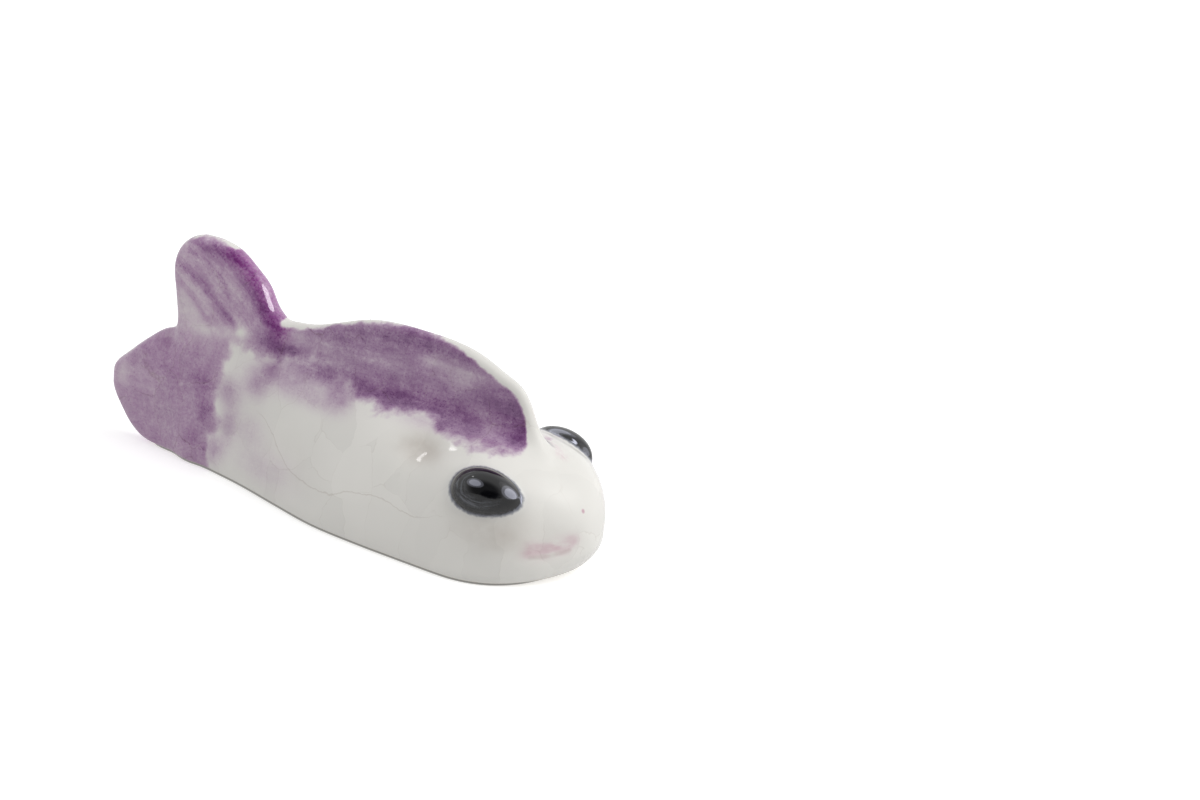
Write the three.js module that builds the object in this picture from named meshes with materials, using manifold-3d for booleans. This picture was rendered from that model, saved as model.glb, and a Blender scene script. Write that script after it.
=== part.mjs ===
import * as THREE from 'three';
import { mergeVertices } from 'three/addons/utils/BufferGeometryUtils.js';
import Module from 'manifold-3d';

// A small hand-modelled fish that stands on a flat foot, in millimetres.
// The nose points along +X, the fish's left side is +Y, and +Z is up.
// The origin is the middle of the foot, on the surface that the fish stands on.
// The fish is six pieces of clay, and each one that is added has a root or a seat in the body.
// A film of slip joins them, and the clearance called SLIP stands for that film.

const wasm = await Module();
wasm.setup();

// Slip film between two joined pieces
const SLIP = 0.3;

// Body, with its highest ridge and its widest half
const BODY_LENGTH = 69;
const BODY_HALF_WIDTH = 14.6;
const BODY_HEIGHT = 19.1;
// How far the hand-modelled centre line strays to the side
const BODY_DRIFT = 1.2;
// Its profile from the tail end to the nose, in shares of the four sizes above
// fullness 1.4 is a peaked section, 2 is an ellipse, and 2.5 is nearly a rounded box
const BODY_PROFILE = [
  { at: -0.42, halfWidth: 0.199, ridge: 0.555, drift: -0.83, fullness: 1.4 },
  { at: -0.348, halfWidth: 0.267, ridge: 0.691, drift: -0.83, fullness: 1.4 },
  { at: -0.232, halfWidth: 0.404, ridge: 0.838, drift: -0.83, fullness: 1.5 },
  { at: -0.116, halfWidth: 0.596, ridge: 0.932, drift: -0.75, fullness: 1.55 },
  { at: 0, halfWidth: 0.774, ridge: 0.984, drift: -0.67, fullness: 1.7 },
  { at: 0.116, halfWidth: 0.87, ridge: 1, drift: -0.42, fullness: 1.95 },
  { at: 0.232, halfWidth: 0.932, ridge: 0.979, drift: -0.17, fullness: 2.3 },
  { at: 0.348, halfWidth: 0.986, ridge: 0.932, drift: 0.17, fullness: 2.9 },
  { at: 0.58, halfWidth: 1, ridge: 0.848, drift: 1, fullness: 2.8 },
];
const NOSE_TIP_HEIGHT = 5;
const CHEEK_ROUNDING = 16;
const CHEEK_POWER = 1.9;
const FOREHEAD_ROUNDING = 15;
const FOREHEAD_POWER = 2.5;
const CHIN_ROUNDING = 6;
const CHIN_POWER = 2;

// Foot
const FOOT_INSET = 2;
const FOOT_EDGE_HEIGHT = 1.6;
const FOOT_INSET_LIMIT = 0.45;

// Dorsal fin: how far it rises over the ridge, and how far its front foot is from the nose
const FIN_RISE = 11.2;
const FIN_TO_NOSE = 10;
// Its crest from its rear end to its front foot, in shares of its length and rise
const FIN_PROFILE = [
  { at: 0, crest: 0.77 },
  { at: 0.111, crest: 0.756 },
  { at: 0.222, crest: 0.842 },
  { at: 0.333, crest: 0.929 },
  { at: 0.444, crest: 0.976 },
  { at: 0.533, crest: 0.992 },
  { at: 0.622, crest: 0.981 },
  { at: 0.733, crest: 0.91 },
  { at: 0.822, crest: 0.801 },
  { at: 0.889, crest: 0.697 },
  { at: 0.922, crest: 0.534 },
  { at: 0.956, crest: 0.268 },
  { at: 1, crest: -0.042 },
];
const FIN_CREST_HALF = 1.1;
const FIN_BASE_HALF = 2.6;

// Upper tail lobe: how far it rises over the end of the body, and its foot along the ridge
const UPPER_LOBE_RISE = 23.7;
const UPPER_LOBE_FOOT = 14;
// Its back and front edges from its root to its top, in shares of its rise and foot
const UPPER_LOBE_PROFILE = [
  { at: -0.068, back: -0.3, front: 1.071 },
  { at: 0.354, back: -0.3, front: 1.071 },
  { at: 0.608, back: -0.364, front: 1 },
  { at: 0.692, back: -0.4, front: 0.886 },
  { at: 0.759, back: -0.414, front: 0.821 },
  { at: 0.827, back: -0.4, front: 0.721 },
  { at: 0.89, back: -0.357, front: 0.571 },
  { at: 0.945, back: -0.279, front: 0.429 },
  { at: 0.983, back: -0.179, front: 0.271 },
  { at: 1, back: -0.086, front: 0.114 },
];
const UPPER_LOBE_HALF = 1.6;
const UPPER_LOBE_BASE_HALF = 2.6;
const UPPER_LOBE_TIP_ROUNDING = 1.6;
const UPPER_LOBE_LEAN = 2.1;
const LEAN_START_HEIGHT = 15;

// Lower tail lobe: its length behind the end of the body, and its height at the valley
const LOWER_LOBE_LENGTH = 14.6;
const LOWER_LOBE_HEIGHT = 20.2;
// Its underside and top edge from its tip to its root, in shares of its length and height
const LOWER_LOBE_PROFILE = [
  { at: -1, low: 0.376, high: 0.525 },
  { at: -0.959, low: 0.307, high: 0.574 },
  { at: -0.89, low: 0.228, high: 0.624 },
  { at: -0.788, low: 0.129, high: 0.693 },
  { at: -0.616, low: 0.035, high: 0.812 },
  { at: -0.445, low: 0, high: 0.921 },
  { at: -0.274, low: 0, high: 1 },
  { at: 0, low: 0, high: 1 },
  { at: 0.137, low: 0, high: 1 },
];
const LOWER_LOBE_HALF = 1.5;
const LOWER_LOBE_BASE_HALF = 2.6;
const LOWER_LOBE_TIP_ROUNDING = 1.6;

// The valley between the lobes runs from the body's end back and up to the notch
const NOTCH_BACK = 4.4;
const NOTCH_RISE = 9;

// Roots that the fin and the lobes push into the body
const ROOT_DEPTH = 3;
const ROOT_HALF = 1.2;
const ROOT_RISE = 2;
const ROOT_INSET = 3;
const FIN_ROOT_FRONT_INSET = 6;
const LOWER_ROOT_DEPTH = 4;
const LOWER_ROOT_LOW = 2.5;
const LOWER_ROOT_HIGH = 7.5;

// Eyes: clay pellets pressed into shallow sockets
// back is the distance from the nose, and up is the distance up the skin from the edge of the foot
const RIGHT_EYE = { side: -1, back: 12.4, up: 14.9 };
const LEFT_EYE = { side: 1, back: 11.2, up: 16.5 };
const EYE_HALF_LENGTH = 5.1;
const EYE_HALF_HEIGHT = 3.6;
const EYE_HALF_DEPTH = 2.5;
const EYE_SINK = 0.5;

// Colours and gloss of the fired surfaces
const GLAZED_CLAY = { color: 0xe9e7e1, roughness: 0.16 };
const WASHED_FIN = { color: 0x9a789b, roughness: 0.18 };
const WASHED_TAIL = { color: 0x93718f, roughness: 0.18 };
const BLACK_GLAZE = { color: 0x17181b, roughness: 0.06 };

// Fineness of the faces
const BODY_RINGS = 44;
const FLANK_STEPS = 14;
const FOOT_EDGE_STEPS = 4;
const PLATE_POINTS = 32;
const PLATE_RIM_POWER = 5;
const FIN_RINGS = 30;
const LOBE_RINGS = 22;
const ROOT_RINGS = 8;
const EYE_SEGMENTS = 28;

// A tip's last ring keeps this share of the full thickness, and a small flat face closes it
const LAST_TIP_SHARE = 0.08;
// The last ring of the nose, as a share of the quarter turn that spaces the rings
const LAST_NOSE_SHARE = 0.9985;
// Corners nearer than this are one corner
const SAME_CORNER = 1e-5;

// Turns a profile from shares into millimetres, from an origin and a size for each measure
function stationsOf(profile, origins, sizes) {
  return profile.map((station) => {
    const place = ([measure, share]) => {
      const size = sizes[measure] ?? 1;
      return [measure, (origins[measure] ?? 0) + share * size];
    };
    return Object.fromEntries(Object.entries(station).map(place));
  });
}

const BODY_STATIONS = stationsOf(BODY_PROFILE, {}, {
  at: BODY_LENGTH,
  halfWidth: BODY_HALF_WIDTH,
  ridge: BODY_HEIGHT,
  drift: BODY_DRIFT,
});
const BODY_END = BODY_STATIONS[0];
const NOSE = BODY_STATIONS[BODY_STATIONS.length - 1];

const finRearAt = BODY_END.at + UPPER_LOBE_FOOT;
const finFrontAt = NOSE.at - FIN_TO_NOSE;
const FIN_STATIONS = stationsOf(FIN_PROFILE, { at: finRearAt }, {
  at: finFrontAt - finRearAt,
  crest: FIN_RISE,
});
const UPPER_LOBE_STATIONS = stationsOf(
  UPPER_LOBE_PROFILE,
  { at: BODY_END.ridge, back: BODY_END.at, front: BODY_END.at },
  { at: UPPER_LOBE_RISE, back: UPPER_LOBE_FOOT, front: UPPER_LOBE_FOOT },
);
const LOBE_TOP = UPPER_LOBE_STATIONS[UPPER_LOBE_STATIONS.length - 1];
const LOWER_LOBE_STATIONS = stationsOf(
  LOWER_LOBE_PROFILE,
  { at: BODY_END.at },
  { at: LOWER_LOBE_LENGTH, low: LOWER_LOBE_HEIGHT, high: LOWER_LOBE_HEIGHT },
);
const LOBE_TIP = LOWER_LOBE_STATIONS[0];

// A smooth curve through one measure of a list of stations
function curveThrough(stations, measure) {
  const places = stations.map((station) => station.at);
  const values = stations.map((station) => station[measure]);
  const curve = new THREE.CubicInterpolant(places, values, 1, [0]);
  return (at) => curve.evaluate(at)[0];
}

const widthCurve = curveThrough(BODY_STATIONS, 'halfWidth');
const ridgeCurve = curveThrough(BODY_STATIONS, 'ridge');
const driftCurve = curveThrough(BODY_STATIONS, 'drift');
const fullnessCurve = curveThrough(BODY_STATIONS, 'fullness');
const crestCurve = curveThrough(FIN_STATIONS, 'crest');
const lobeBackCurve = curveThrough(UPPER_LOBE_STATIONS, 'back');
const lobeFrontCurve = curveThrough(UPPER_LOBE_STATIONS, 'front');
const lobeLowCurve = curveThrough(LOWER_LOBE_STATIONS, 'low');
const lobeHighCurve = curveThrough(LOWER_LOBE_STATIONS, 'high');

// 1 away from an end, and 0 at the end, along a superellipse of the given length
function rounding(distanceToEnd, length, power) {
  const inside = THREE.MathUtils.clamp(1 - distanceToEnd / length, 0, 1);
  return Math.pow(1 - Math.pow(inside, power), 1 / power);
}

function centreY(x) {
  return driftCurve(THREE.MathUtils.clamp(x, BODY_END.at, NOSE.at));
}

function bodyHalfWidth(x) {
  return widthCurve(x) * rounding(NOSE.at - x, CHEEK_ROUNDING, CHEEK_POWER);
}

function bodyRidge(x) {
  const open = ridgeCurve(THREE.MathUtils.clamp(x, BODY_END.at, NOSE.at)) - NOSE_TIP_HEIGHT;
  return NOSE_TIP_HEIGHT + open * rounding(NOSE.at - x, FOREHEAD_ROUNDING, FOREHEAD_POWER);
}

function bodyUnderside(x) {
  return NOSE_TIP_HEIGHT * (1 - rounding(NOSE.at - x, CHIN_ROUNDING, CHIN_POWER));
}

// One half of the body's section, from the edge of the foot up to the ridge, as [side, height]
function bodyProfile(x) {
  const halfWidth = bodyHalfWidth(x);
  const low = bodyUnderside(x);
  const high = bodyRidge(x);
  const chin = THREE.MathUtils.clamp(1 - (NOSE.at - x) / CHIN_ROUNDING, 0, 1);
  const footInset = Math.min(FOOT_INSET, FOOT_INSET_LIMIT * halfWidth);
  const footEdge = Math.min(FOOT_EDGE_HEIGHT, FOOT_INSET_LIMIT * (high - low));
  const inset = THREE.MathUtils.lerp(footInset, halfWidth, chin);
  const edgeHeight = THREE.MathUtils.lerp(footEdge, (high - low) / 2, chin);
  const power = 2 / fullnessCurve(x);
  const profile = [];
  for (let step = 0; step < FOOT_EDGE_STEPS; step += 1) {
    const angle = (step / FOOT_EDGE_STEPS) * (Math.PI / 2);
    const side = halfWidth - inset + inset * Math.sin(angle);
    profile.push([side, low + edgeHeight * (1 - Math.cos(angle))]);
  }
  for (let step = 0; step <= FLANK_STEPS; step += 1) {
    const angle = (step / FLANK_STEPS) * (Math.PI / 2);
    const side = halfWidth * Math.pow(Math.max(Math.cos(angle), 0), power);
    const rise = (high - low - edgeHeight) * Math.pow(Math.sin(angle), power);
    profile.push([side, low + edgeHeight + rise]);
  }
  profile[profile.length - 1][0] = 0;
  return profile;
}

// The body's closed section at x, grown on its sides and back by a clearance
function bodyLoop(x, grow) {
  const profile = bodyProfile(x);
  const y = centreY(x);
  const point = (sign) => ([side, height]) => {
    const outward = side > 0 ? side + grow : 0;
    const lift = height > FOOT_EDGE_HEIGHT ? grow : 0;
    return new THREE.Vector3(x, y + sign * outward, height + lift);
  };
  const left = profile.map(point(1));
  const right = profile.map(point(-1));
  return [...right, ...left.reverse().slice(1)];
}

// A closed loop round a flat plate, from its low end to its high end along one direction
// halfAt gives the half thickness there, and place puts the point in the fish
function plateLoop(low, high, halfAt, place) {
  const middle = (low + high) / 2;
  const reach = (high - low) / 2;
  const loop = [];
  for (let index = 0; index < PLATE_POINTS; index += 1) {
    const angle = (index / PLATE_POINTS) * 2 * Math.PI;
    const cosine = Math.cos(angle);
    const along = Math.sign(cosine) * Math.pow(Math.abs(cosine), 2 / PLATE_RIM_POWER);
    const at = middle + reach * along;
    loop.push(place(at, halfAt(at) * Math.sin(angle)));
  }
  return loop;
}

// A closed skin over a row of loops with equal numbers of points, with a flat fan at each end
function loft(loops) {
  const size = loops[0].length;
  const positions = [];
  const faces = [];
  for (const loop of loops) {
    for (const point of loop) positions.push(point.x, point.y, point.z);
  }
  for (let ring = 0; ring + 1 < loops.length; ring += 1) {
    for (let index = 0; index < size; index += 1) {
      const here = ring * size + index;
      const beside = ring * size + ((index + 1) % size);
      faces.push(here, beside, beside + size);
      faces.push(here, beside + size, here + size);
    }
  }
  const closeEnd = (ring, forwards) => {
    const middle = new THREE.Vector3();
    loops[ring].forEach((point) => middle.addScaledVector(point, 1 / size));
    positions.push(middle.x, middle.y, middle.z);
    const hub = positions.length / 3 - 1;
    for (let index = 0; index < size; index += 1) {
      const here = ring * size + index;
      const beside = ring * size + ((index + 1) % size);
      faces.push(...(forwards ? [hub, here, beside] : [hub, beside, here]));
    }
  };
  closeEnd(0, false);
  closeEnd(loops.length - 1, true);
  const geometry = new THREE.BufferGeometry();
  geometry.setAttribute('position', new THREE.Float32BufferAttribute(positions, 3));
  geometry.setIndex(faces);
  return geometry;
}

// Turns a closed geometry into a solid, with its faces pointing out
function solidOf(geometry) {
  geometry.deleteAttribute('normal');
  geometry.deleteAttribute('uv');
  const merged = mergeVertices(geometry, SAME_CORNER);
  const index = merged.index.array;
  const whole = [];
  for (let face = 0; face < index.length; face += 3) {
    const [a, b, c] = [index[face], index[face + 1], index[face + 2]];
    if (a !== b && b !== c && c !== a) whole.push(a, b, c);
  }
  const build = (corners) => new wasm.Manifold(new wasm.Mesh({
    numProp: 3,
    vertProperties: new Float32Array(merged.attributes.position.array),
    triVerts: new Uint32Array(corners),
  }));
  const solid = build(whole);
  if (solid.volume() > 0) return solid;
  return build(whole.reverse());
}

function spread(count, pick) {
  return Array.from({ length: count + 1 }, (unused, index) => pick(index / count));
}

// Body
function bodySolid(grow) {
  const rear = BODY_END.at - grow;
  const length = NOSE.at - rear;
  const loops = spread(BODY_RINGS, (share) => {
    const x = rear + length * Math.sin(share * LAST_NOSE_SHARE * (Math.PI / 2));
    return bodyLoop(x, grow);
  });
  return solidOf(loft(loops));
}

// Dorsal fin, from a little below the ridge to its crest
function finSolid() {
  const loops = spread(FIN_RINGS, (share) => {
    const eased = Math.sin(share * (Math.PI / 2));
    const x = THREE.MathUtils.lerp(finRearAt, finFrontAt, eased);
    const ridge = bodyRidge(x);
    const crest = ridge + crestCurve(x);
    const low = Math.min(ridge, crest) - 2 * FIN_BASE_HALF;
    const half = (height) => {
      const fall = THREE.MathUtils.clamp((crest - height) / (crest - ridge + ROOT_RISE), 0, 1);
      return THREE.MathUtils.lerp(FIN_CREST_HALF, FIN_BASE_HALF, fall * fall);
    };
    return plateLoop(low, crest, half, (z, side) => new THREE.Vector3(x, centreY(x) + side, z));
  });
  return solidOf(loft(loops));
}

function leanAt(z) {
  const share = (z - LEAN_START_HEIGHT) / (LOBE_TOP.at - LEAN_START_HEIGHT);
  return UPPER_LOBE_LEAN * Math.max(share, 0);
}

function upperLobeWing() {
  const root = UPPER_LOBE_STATIONS[0].at;
  const loops = spread(LOBE_RINGS, (share) => {
    const z = THREE.MathUtils.lerp(root, LOBE_TOP.at, Math.sin(share * (Math.PI / 2)));
    const height = (z - root) / (LOBE_TOP.at - root);
    const full = THREE.MathUtils.lerp(UPPER_LOBE_BASE_HALF, UPPER_LOBE_HALF, height);
    const closing = Math.max(rounding(LOBE_TOP.at - z, UPPER_LOBE_TIP_ROUNDING, 2), LAST_TIP_SHARE);
    const half = full * closing;
    const y = centreY(BODY_END.at) + leanAt(z);
    return plateLoop(lobeBackCurve(z), lobeFrontCurve(z), () => half, (x, side) => (
      new THREE.Vector3(x, y + side, z)
    ));
  });
  return solidOf(loft(loops));
}

function lowerLobeWing() {
  const root = LOWER_LOBE_STATIONS[LOWER_LOBE_STATIONS.length - 1].at;
  const loops = spread(LOBE_RINGS, (share) => {
    const x = THREE.MathUtils.lerp(root, LOBE_TIP.at, Math.sin(share * (Math.PI / 2)));
    const closing = Math.max(rounding(x - LOBE_TIP.at, LOWER_LOBE_TIP_ROUNDING, 2), LAST_TIP_SHARE);
    const taper = THREE.MathUtils.clamp((x - LOBE_TIP.at) / (BODY_END.at - LOBE_TIP.at), 0, 1);
    const low = Math.max(lobeLowCurve(x), 0);
    const high = lobeHighCurve(x);
    const half = (z) => {
      const rise = THREE.MathUtils.clamp((z - low) / (high - low), 0, 1);
      const base = THREE.MathUtils.lerp(LOWER_LOBE_BASE_HALF, LOWER_LOBE_HALF, rise);
      return closing * THREE.MathUtils.lerp(LOWER_LOBE_HALF, base, taper);
    };
    return plateLoop(low, high, half, (z, side) => (
      new THREE.Vector3(x, centreY(x) + leanAt(z) + side, z)
    ));
  });
  return solidOf(loft(loops));
}

// A prism across the fish whose outline is given in X and Z
function prism(outline) {
  const shape = new THREE.Shape(outline.map(([x, z]) => new THREE.Vector2(x, z)));
  const bodyWidth = 2 * NOSE.halfWidth;
  const depth = 2 * bodyWidth;
  const geometry = new THREE.ExtrudeGeometry(shape, { depth, bevelEnabled: false });
  geometry.rotateX(Math.PI / 2);
  geometry.translate(0, depth / 2, 0);
  return solidOf(geometry);
}

// The space of the upper lobe: over the valley and behind the dorsal fin
function upperLobeSpace(margin) {
  const valleyFoot = { x: BODY_END.at, z: BODY_END.ridge };
  const slope = -NOTCH_BACK / NOTCH_RISE;
  const top = LOBE_TOP.at + SLIP;
  const bottom = UPPER_LOBE_STATIONS[0].at - SLIP;
  const valleyX = (z) => valleyFoot.x + slope * (z - valleyFoot.z) + margin;
  return prism([
    [valleyX(bottom), bottom],
    [finRearAt - SLIP, bottom],
    [finRearAt - SLIP, top],
    [valleyX(top), top],
  ]);
}

// A root strip that follows the body's centre line between two places
function rootStrip(from, to, lowAt, highAt, grow) {
  const loops = spread(ROOT_RINGS, (share) => {
    const x = THREE.MathUtils.lerp(from - grow, to + grow, share);
    const y = centreY(x);
    const half = ROOT_HALF + grow;
    const low = lowAt(x) - grow;
    const high = highAt(x);
    const corners = [[-half, low], [half, low], [half, high], [-half, high]];
    return corners.map(([side, z]) => new THREE.Vector3(x, y + side, z));
  });
  return solidOf(loft(loops));
}

function ridgeRoot(from, to, grow) {
  return rootStrip(from, to, (x) => bodyRidge(x) - ROOT_DEPTH, (x) => bodyRidge(x) + ROOT_RISE, grow);
}

function finRoot(grow) {
  return ridgeRoot(finRearAt + ROOT_INSET, finFrontAt - FIN_ROOT_FRONT_INSET, grow);
}

function upperRoot(grow) {
  return ridgeRoot(BODY_END.at + ROOT_INSET, finRearAt - ROOT_INSET, grow);
}

function lowerRoot(grow) {
  const from = BODY_END.at - ROOT_RISE;
  const to = BODY_END.at + LOWER_ROOT_DEPTH;
  return rootStrip(from, to, () => LOWER_ROOT_LOW, () => LOWER_ROOT_HIGH + grow, grow);
}

// The point of the body's side at x, a distance up the skin from the edge of the foot
function flankPoint(x, up, side) {
  const skin = bodyProfile(x).map(([out, rise]) => new THREE.Vector2(out, rise));
  const spot = skin[0].clone();
  let left = up;
  for (let index = 1; index < skin.length && left > 0; index += 1) {
    const step = skin[index].distanceTo(skin[index - 1]);
    spot.lerpVectors(skin[index - 1], skin[index], Math.min(left / step, 1));
    left -= step;
  }
  return new THREE.Vector3(x, centreY(x) + side * spot.x, spot.y);
}

// A flattened pellet whose middle follows the body's side, sunk a little into it
function eyeSolid({ side, back, up }, grow) {
  const at = NOSE.at - back;
  const centre = flankPoint(at, up, side);
  const ahead = flankPoint(at + 1, up, side).sub(centre).normalize();
  const upward = flankPoint(at, up + 1, side).sub(centre).normalize();
  const facing = new THREE.Vector3().crossVectors(upward, ahead).multiplyScalar(side).normalize();
  const geometry = new THREE.SphereGeometry(1, EYE_SEGMENTS, EYE_SEGMENTS / 2);
  geometry.rotateX(Math.PI / 2);
  const spots = geometry.attributes.position;
  for (let index = 0; index < spots.count; index += 1) {
    const along = (EYE_HALF_LENGTH + grow) * spots.getX(index) * ahead.x;
    const over = (EYE_HALF_HEIGHT + grow) * spots.getY(index);
    const proud = (EYE_HALF_DEPTH + grow) * spots.getZ(index) - EYE_SINK;
    const spot = flankPoint(at + along, up + over, side).addScaledVector(facing, proud);
    spots.setXYZ(index, spot.x, spot.y, spot.z);
  }
  return solidOf(geometry);
}

function meshOf(name, solid, surface) {
  const mesh = solid.getMesh();
  const geometry = new THREE.BufferGeometry();
  geometry.setAttribute('position', new THREE.Float32BufferAttribute(mesh.vertProperties, 3));
  geometry.setIndex(Array.from(mesh.triVerts));
  geometry.computeVertexNormals();
  const material = new THREE.MeshStandardMaterial({ ...surface, metalness: 0 });
  const piece = new THREE.Mesh(geometry, material);
  piece.name = name;
  return piece;
}

const bodyOutside = bodySolid(SLIP);
const rightEye = eyeSolid(RIGHT_EYE, 0);
const leftEye = eyeSolid(LEFT_EYE, 0);

const body = bodySolid(0)
  .subtract(finRoot(SLIP))
  .subtract(upperRoot(SLIP))
  .subtract(lowerRoot(SLIP))
  .subtract(eyeSolid(RIGHT_EYE, SLIP))
  .subtract(eyeSolid(LEFT_EYE, SLIP));

const dorsalFin = finSolid().subtract(bodyOutside).add(finRoot(0));

const upperLobe = upperLobeWing()
  .intersect(upperLobeSpace(0))
  .subtract(bodyOutside)
  .add(upperRoot(0));

const lowerLobe = lowerLobeWing()
  .subtract(upperLobeSpace(-SLIP))
  .subtract(bodyOutside)
  .add(lowerRoot(0));

const fish = new THREE.Group();
fish.add(meshOf('body', body, GLAZED_CLAY));
fish.add(meshOf('dorsal_fin', dorsalFin, WASHED_FIN));
fish.add(meshOf('tail_upper_lobe', upperLobe, WASHED_TAIL));
fish.add(meshOf('tail_lower_lobe', lowerLobe, WASHED_TAIL));
fish.add(meshOf('right_eye', rightEye, BLACK_GLAZE));
fish.add(meshOf('left_eye', leftEye, BLACK_GLAZE));

export default fish;
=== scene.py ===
# %% [markdown]
# A hand-modelled ceramic fish
#
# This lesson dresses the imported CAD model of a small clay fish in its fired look.
# The real fish is a solid lump of clay with a rolled fin, a forked tail and two pressed-on eyes.
# Slip joins the pieces, and one skin of glaze runs over all of them, so the joints don't show.
# The CAD model gives every size and place. Here the same pieces get soft joints, dents and glaze.

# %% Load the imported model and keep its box
import math

import bpy
import numpy as np
from mathutils import Matrix, Vector


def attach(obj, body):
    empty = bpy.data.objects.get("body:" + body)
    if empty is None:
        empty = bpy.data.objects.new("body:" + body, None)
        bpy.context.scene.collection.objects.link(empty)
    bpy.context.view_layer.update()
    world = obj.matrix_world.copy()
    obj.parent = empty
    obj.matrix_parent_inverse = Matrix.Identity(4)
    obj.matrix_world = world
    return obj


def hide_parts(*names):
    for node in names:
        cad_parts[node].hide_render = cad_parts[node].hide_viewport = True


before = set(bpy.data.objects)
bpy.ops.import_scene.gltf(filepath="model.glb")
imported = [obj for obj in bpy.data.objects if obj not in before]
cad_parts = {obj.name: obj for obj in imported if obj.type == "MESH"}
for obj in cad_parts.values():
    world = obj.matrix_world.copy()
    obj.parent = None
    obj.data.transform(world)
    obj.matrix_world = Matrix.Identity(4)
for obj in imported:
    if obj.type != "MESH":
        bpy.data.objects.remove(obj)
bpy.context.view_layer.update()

MM = 0.001

# %% [markdown]
# The camera comes first, because every later choice is judged through it.
# It stands in front of the fish's right side, looks down about 20 degrees and is tilted a little.
# A long lens at 43 cm keeps the small fish in proportion, and the frame is not shifted.

# %% Camera
CAMERA_AZIMUTH = math.radians(25.596)
CAMERA_ELEVATION = math.radians(19.835)
CAMERA_ROLL = math.radians(7.394)
CAMERA_DISTANCE = 432.278
CAMERA_SIDEWAYS = 36.846
CAMERA_UP = 15.386
FOCAL_PIXELS = 2906.759
FRAME_PIXELS = 1200
SENSOR_MM = 36

back = Vector((
    math.sin(CAMERA_AZIMUTH) * math.cos(CAMERA_ELEVATION),
    -math.cos(CAMERA_AZIMUTH) * math.cos(CAMERA_ELEVATION),
    math.sin(CAMERA_ELEVATION),
))
level_right = Vector((math.cos(CAMERA_AZIMUTH), math.sin(CAMERA_AZIMUTH), 0))
level_up = back.cross(level_right)
right = math.cos(CAMERA_ROLL) * level_right + math.sin(CAMERA_ROLL) * level_up
up = math.cos(CAMERA_ROLL) * level_up - math.sin(CAMERA_ROLL) * level_right
place = (CAMERA_SIDEWAYS * right + CAMERA_UP * up + CAMERA_DISTANCE * back) * MM

camera_data = bpy.data.cameras.new("camera")
camera_data.sensor_width = SENSOR_MM
camera_data.lens = FOCAL_PIXELS / FRAME_PIXELS * SENSOR_MM
camera_data.clip_start = 0.01
camera = bpy.data.objects.new("camera", camera_data)
camera.matrix_world = Matrix.Translation(place) @ Matrix((right, up, back)).transposed().to_4x4()
bpy.context.scene.collection.objects.link(camera)
bpy.context.scene.camera = camera
print("lens in mm:", round(camera_data.lens, 1))

# %% [markdown]
# The clay is described as a field: a number at every point of space, in millimetres.
# It is negative inside the clay, zero on its skin and positive outside.
# A field is the right tool for soft clay, because two fields can be melted together with a
# smooth minimum, which makes the same fillet that a wet finger makes along a slip joint.
# The first helper draws smooth curves through the measured stations.

# %% Curves through measured stations
def curve_through(places, values):
    """A smooth curve through the values at rising places, level past both ends."""
    places, values = np.array(places, float), np.array(values, float)
    secants = np.diff(values) / np.diff(places)
    inner = (secants[1:] + secants[:-1]) / 2
    slopes = np.concatenate([secants[:1], inner, secants[-1:]])

    def curve(x):
        x = np.clip(x, places[0], places[-1])
        i = np.clip(np.searchsorted(places, x, side="right") - 1, 0, len(secants) - 1)
        step = places[i + 1] - places[i]
        t = (x - places[i]) / step
        start = (1 + 2 * t) * (1 - t) ** 2 * values[i] + t * (1 - t) ** 2 * step * slopes[i]
        end = t * t * (3 - 2 * t) * values[i + 1] + t * t * (t - 1) * step * slopes[i + 1]
        return start + end

    return curve


def ease(low, high, value):
    """0 below `low`, 1 above `high`, and a smooth climb between them."""
    share = np.clip((value - low) / (high - low), 0, 1)
    return share * share * (3 - 2 * share)


def mix(low, high, share):
    """The value at a share of the way from `low` to `high`."""
    return low + (high - low) * share


# %% [markdown]
# The body is a teardrop loaf with a flat foot. Its stations repeat the CAD model's profile:
# the half width, the height of the ridge, the drift of the hand-made centre line, and the
# fullness of the section, where 1.4 is peaked like a tent and 2.9 is nearly a rounded box.

# %% Stations of the body, from the tail end to the nose
BODY_AT = [-29, -24, -16, -8, 0, 8, 16, 24, 40]
half_width = curve_through(BODY_AT, [2.9, 3.9, 5.9, 8.7, 11.3, 12.7, 13.6, 14.4, 14.6])
open_ridge = curve_through(BODY_AT, [10.6, 13.2, 16.0, 17.8, 18.8, 19.1, 18.7, 17.8, 16.2])
centre_line = curve_through(BODY_AT, [-1.0, -1.0, -1.0, -0.9, -0.8, -0.5, -0.2, 0.2, 1.2])
fullness = curve_through(BODY_AT, [1.4, 1.4, 1.5, 1.55, 1.7, 1.95, 2.3, 2.9, 2.8])
TAIL_END, NOSE = BODY_AT[0], BODY_AT[-1]
END_RIDGE = float(open_ridge(TAIL_END))
NOSE_TIP_HEIGHT = 5
CHEEK_LENGTH, CHEEK_POWER = 16, 1.9
FOREHEAD_LENGTH, FOREHEAD_POWER = 15, 2.5
CHIN_LENGTH = 7.5
FOOT_EDGE_HEIGHT = 1.6
FOOT_EDGE_SOFTNESS, TAIL_END_SOFTNESS = 1.5, 2.0
# Between these two stations the widest level climbs from the foot's edge to the nose tip
CHIN_FROM, CHIN_TO = 18, 34


def ridge_height(x):
    """The height of the body's ridge, rounded off towards the nose."""
    inside = np.clip((x - NOSE + FOREHEAD_LENGTH) / FOREHEAD_LENGTH, 0, 1)
    rounding = (1 - inside ** FOREHEAD_POWER) ** (1 / FOREHEAD_POWER)
    return NOSE_TIP_HEIGHT + (open_ridge(x) - NOSE_TIP_HEIGHT) * rounding


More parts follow.
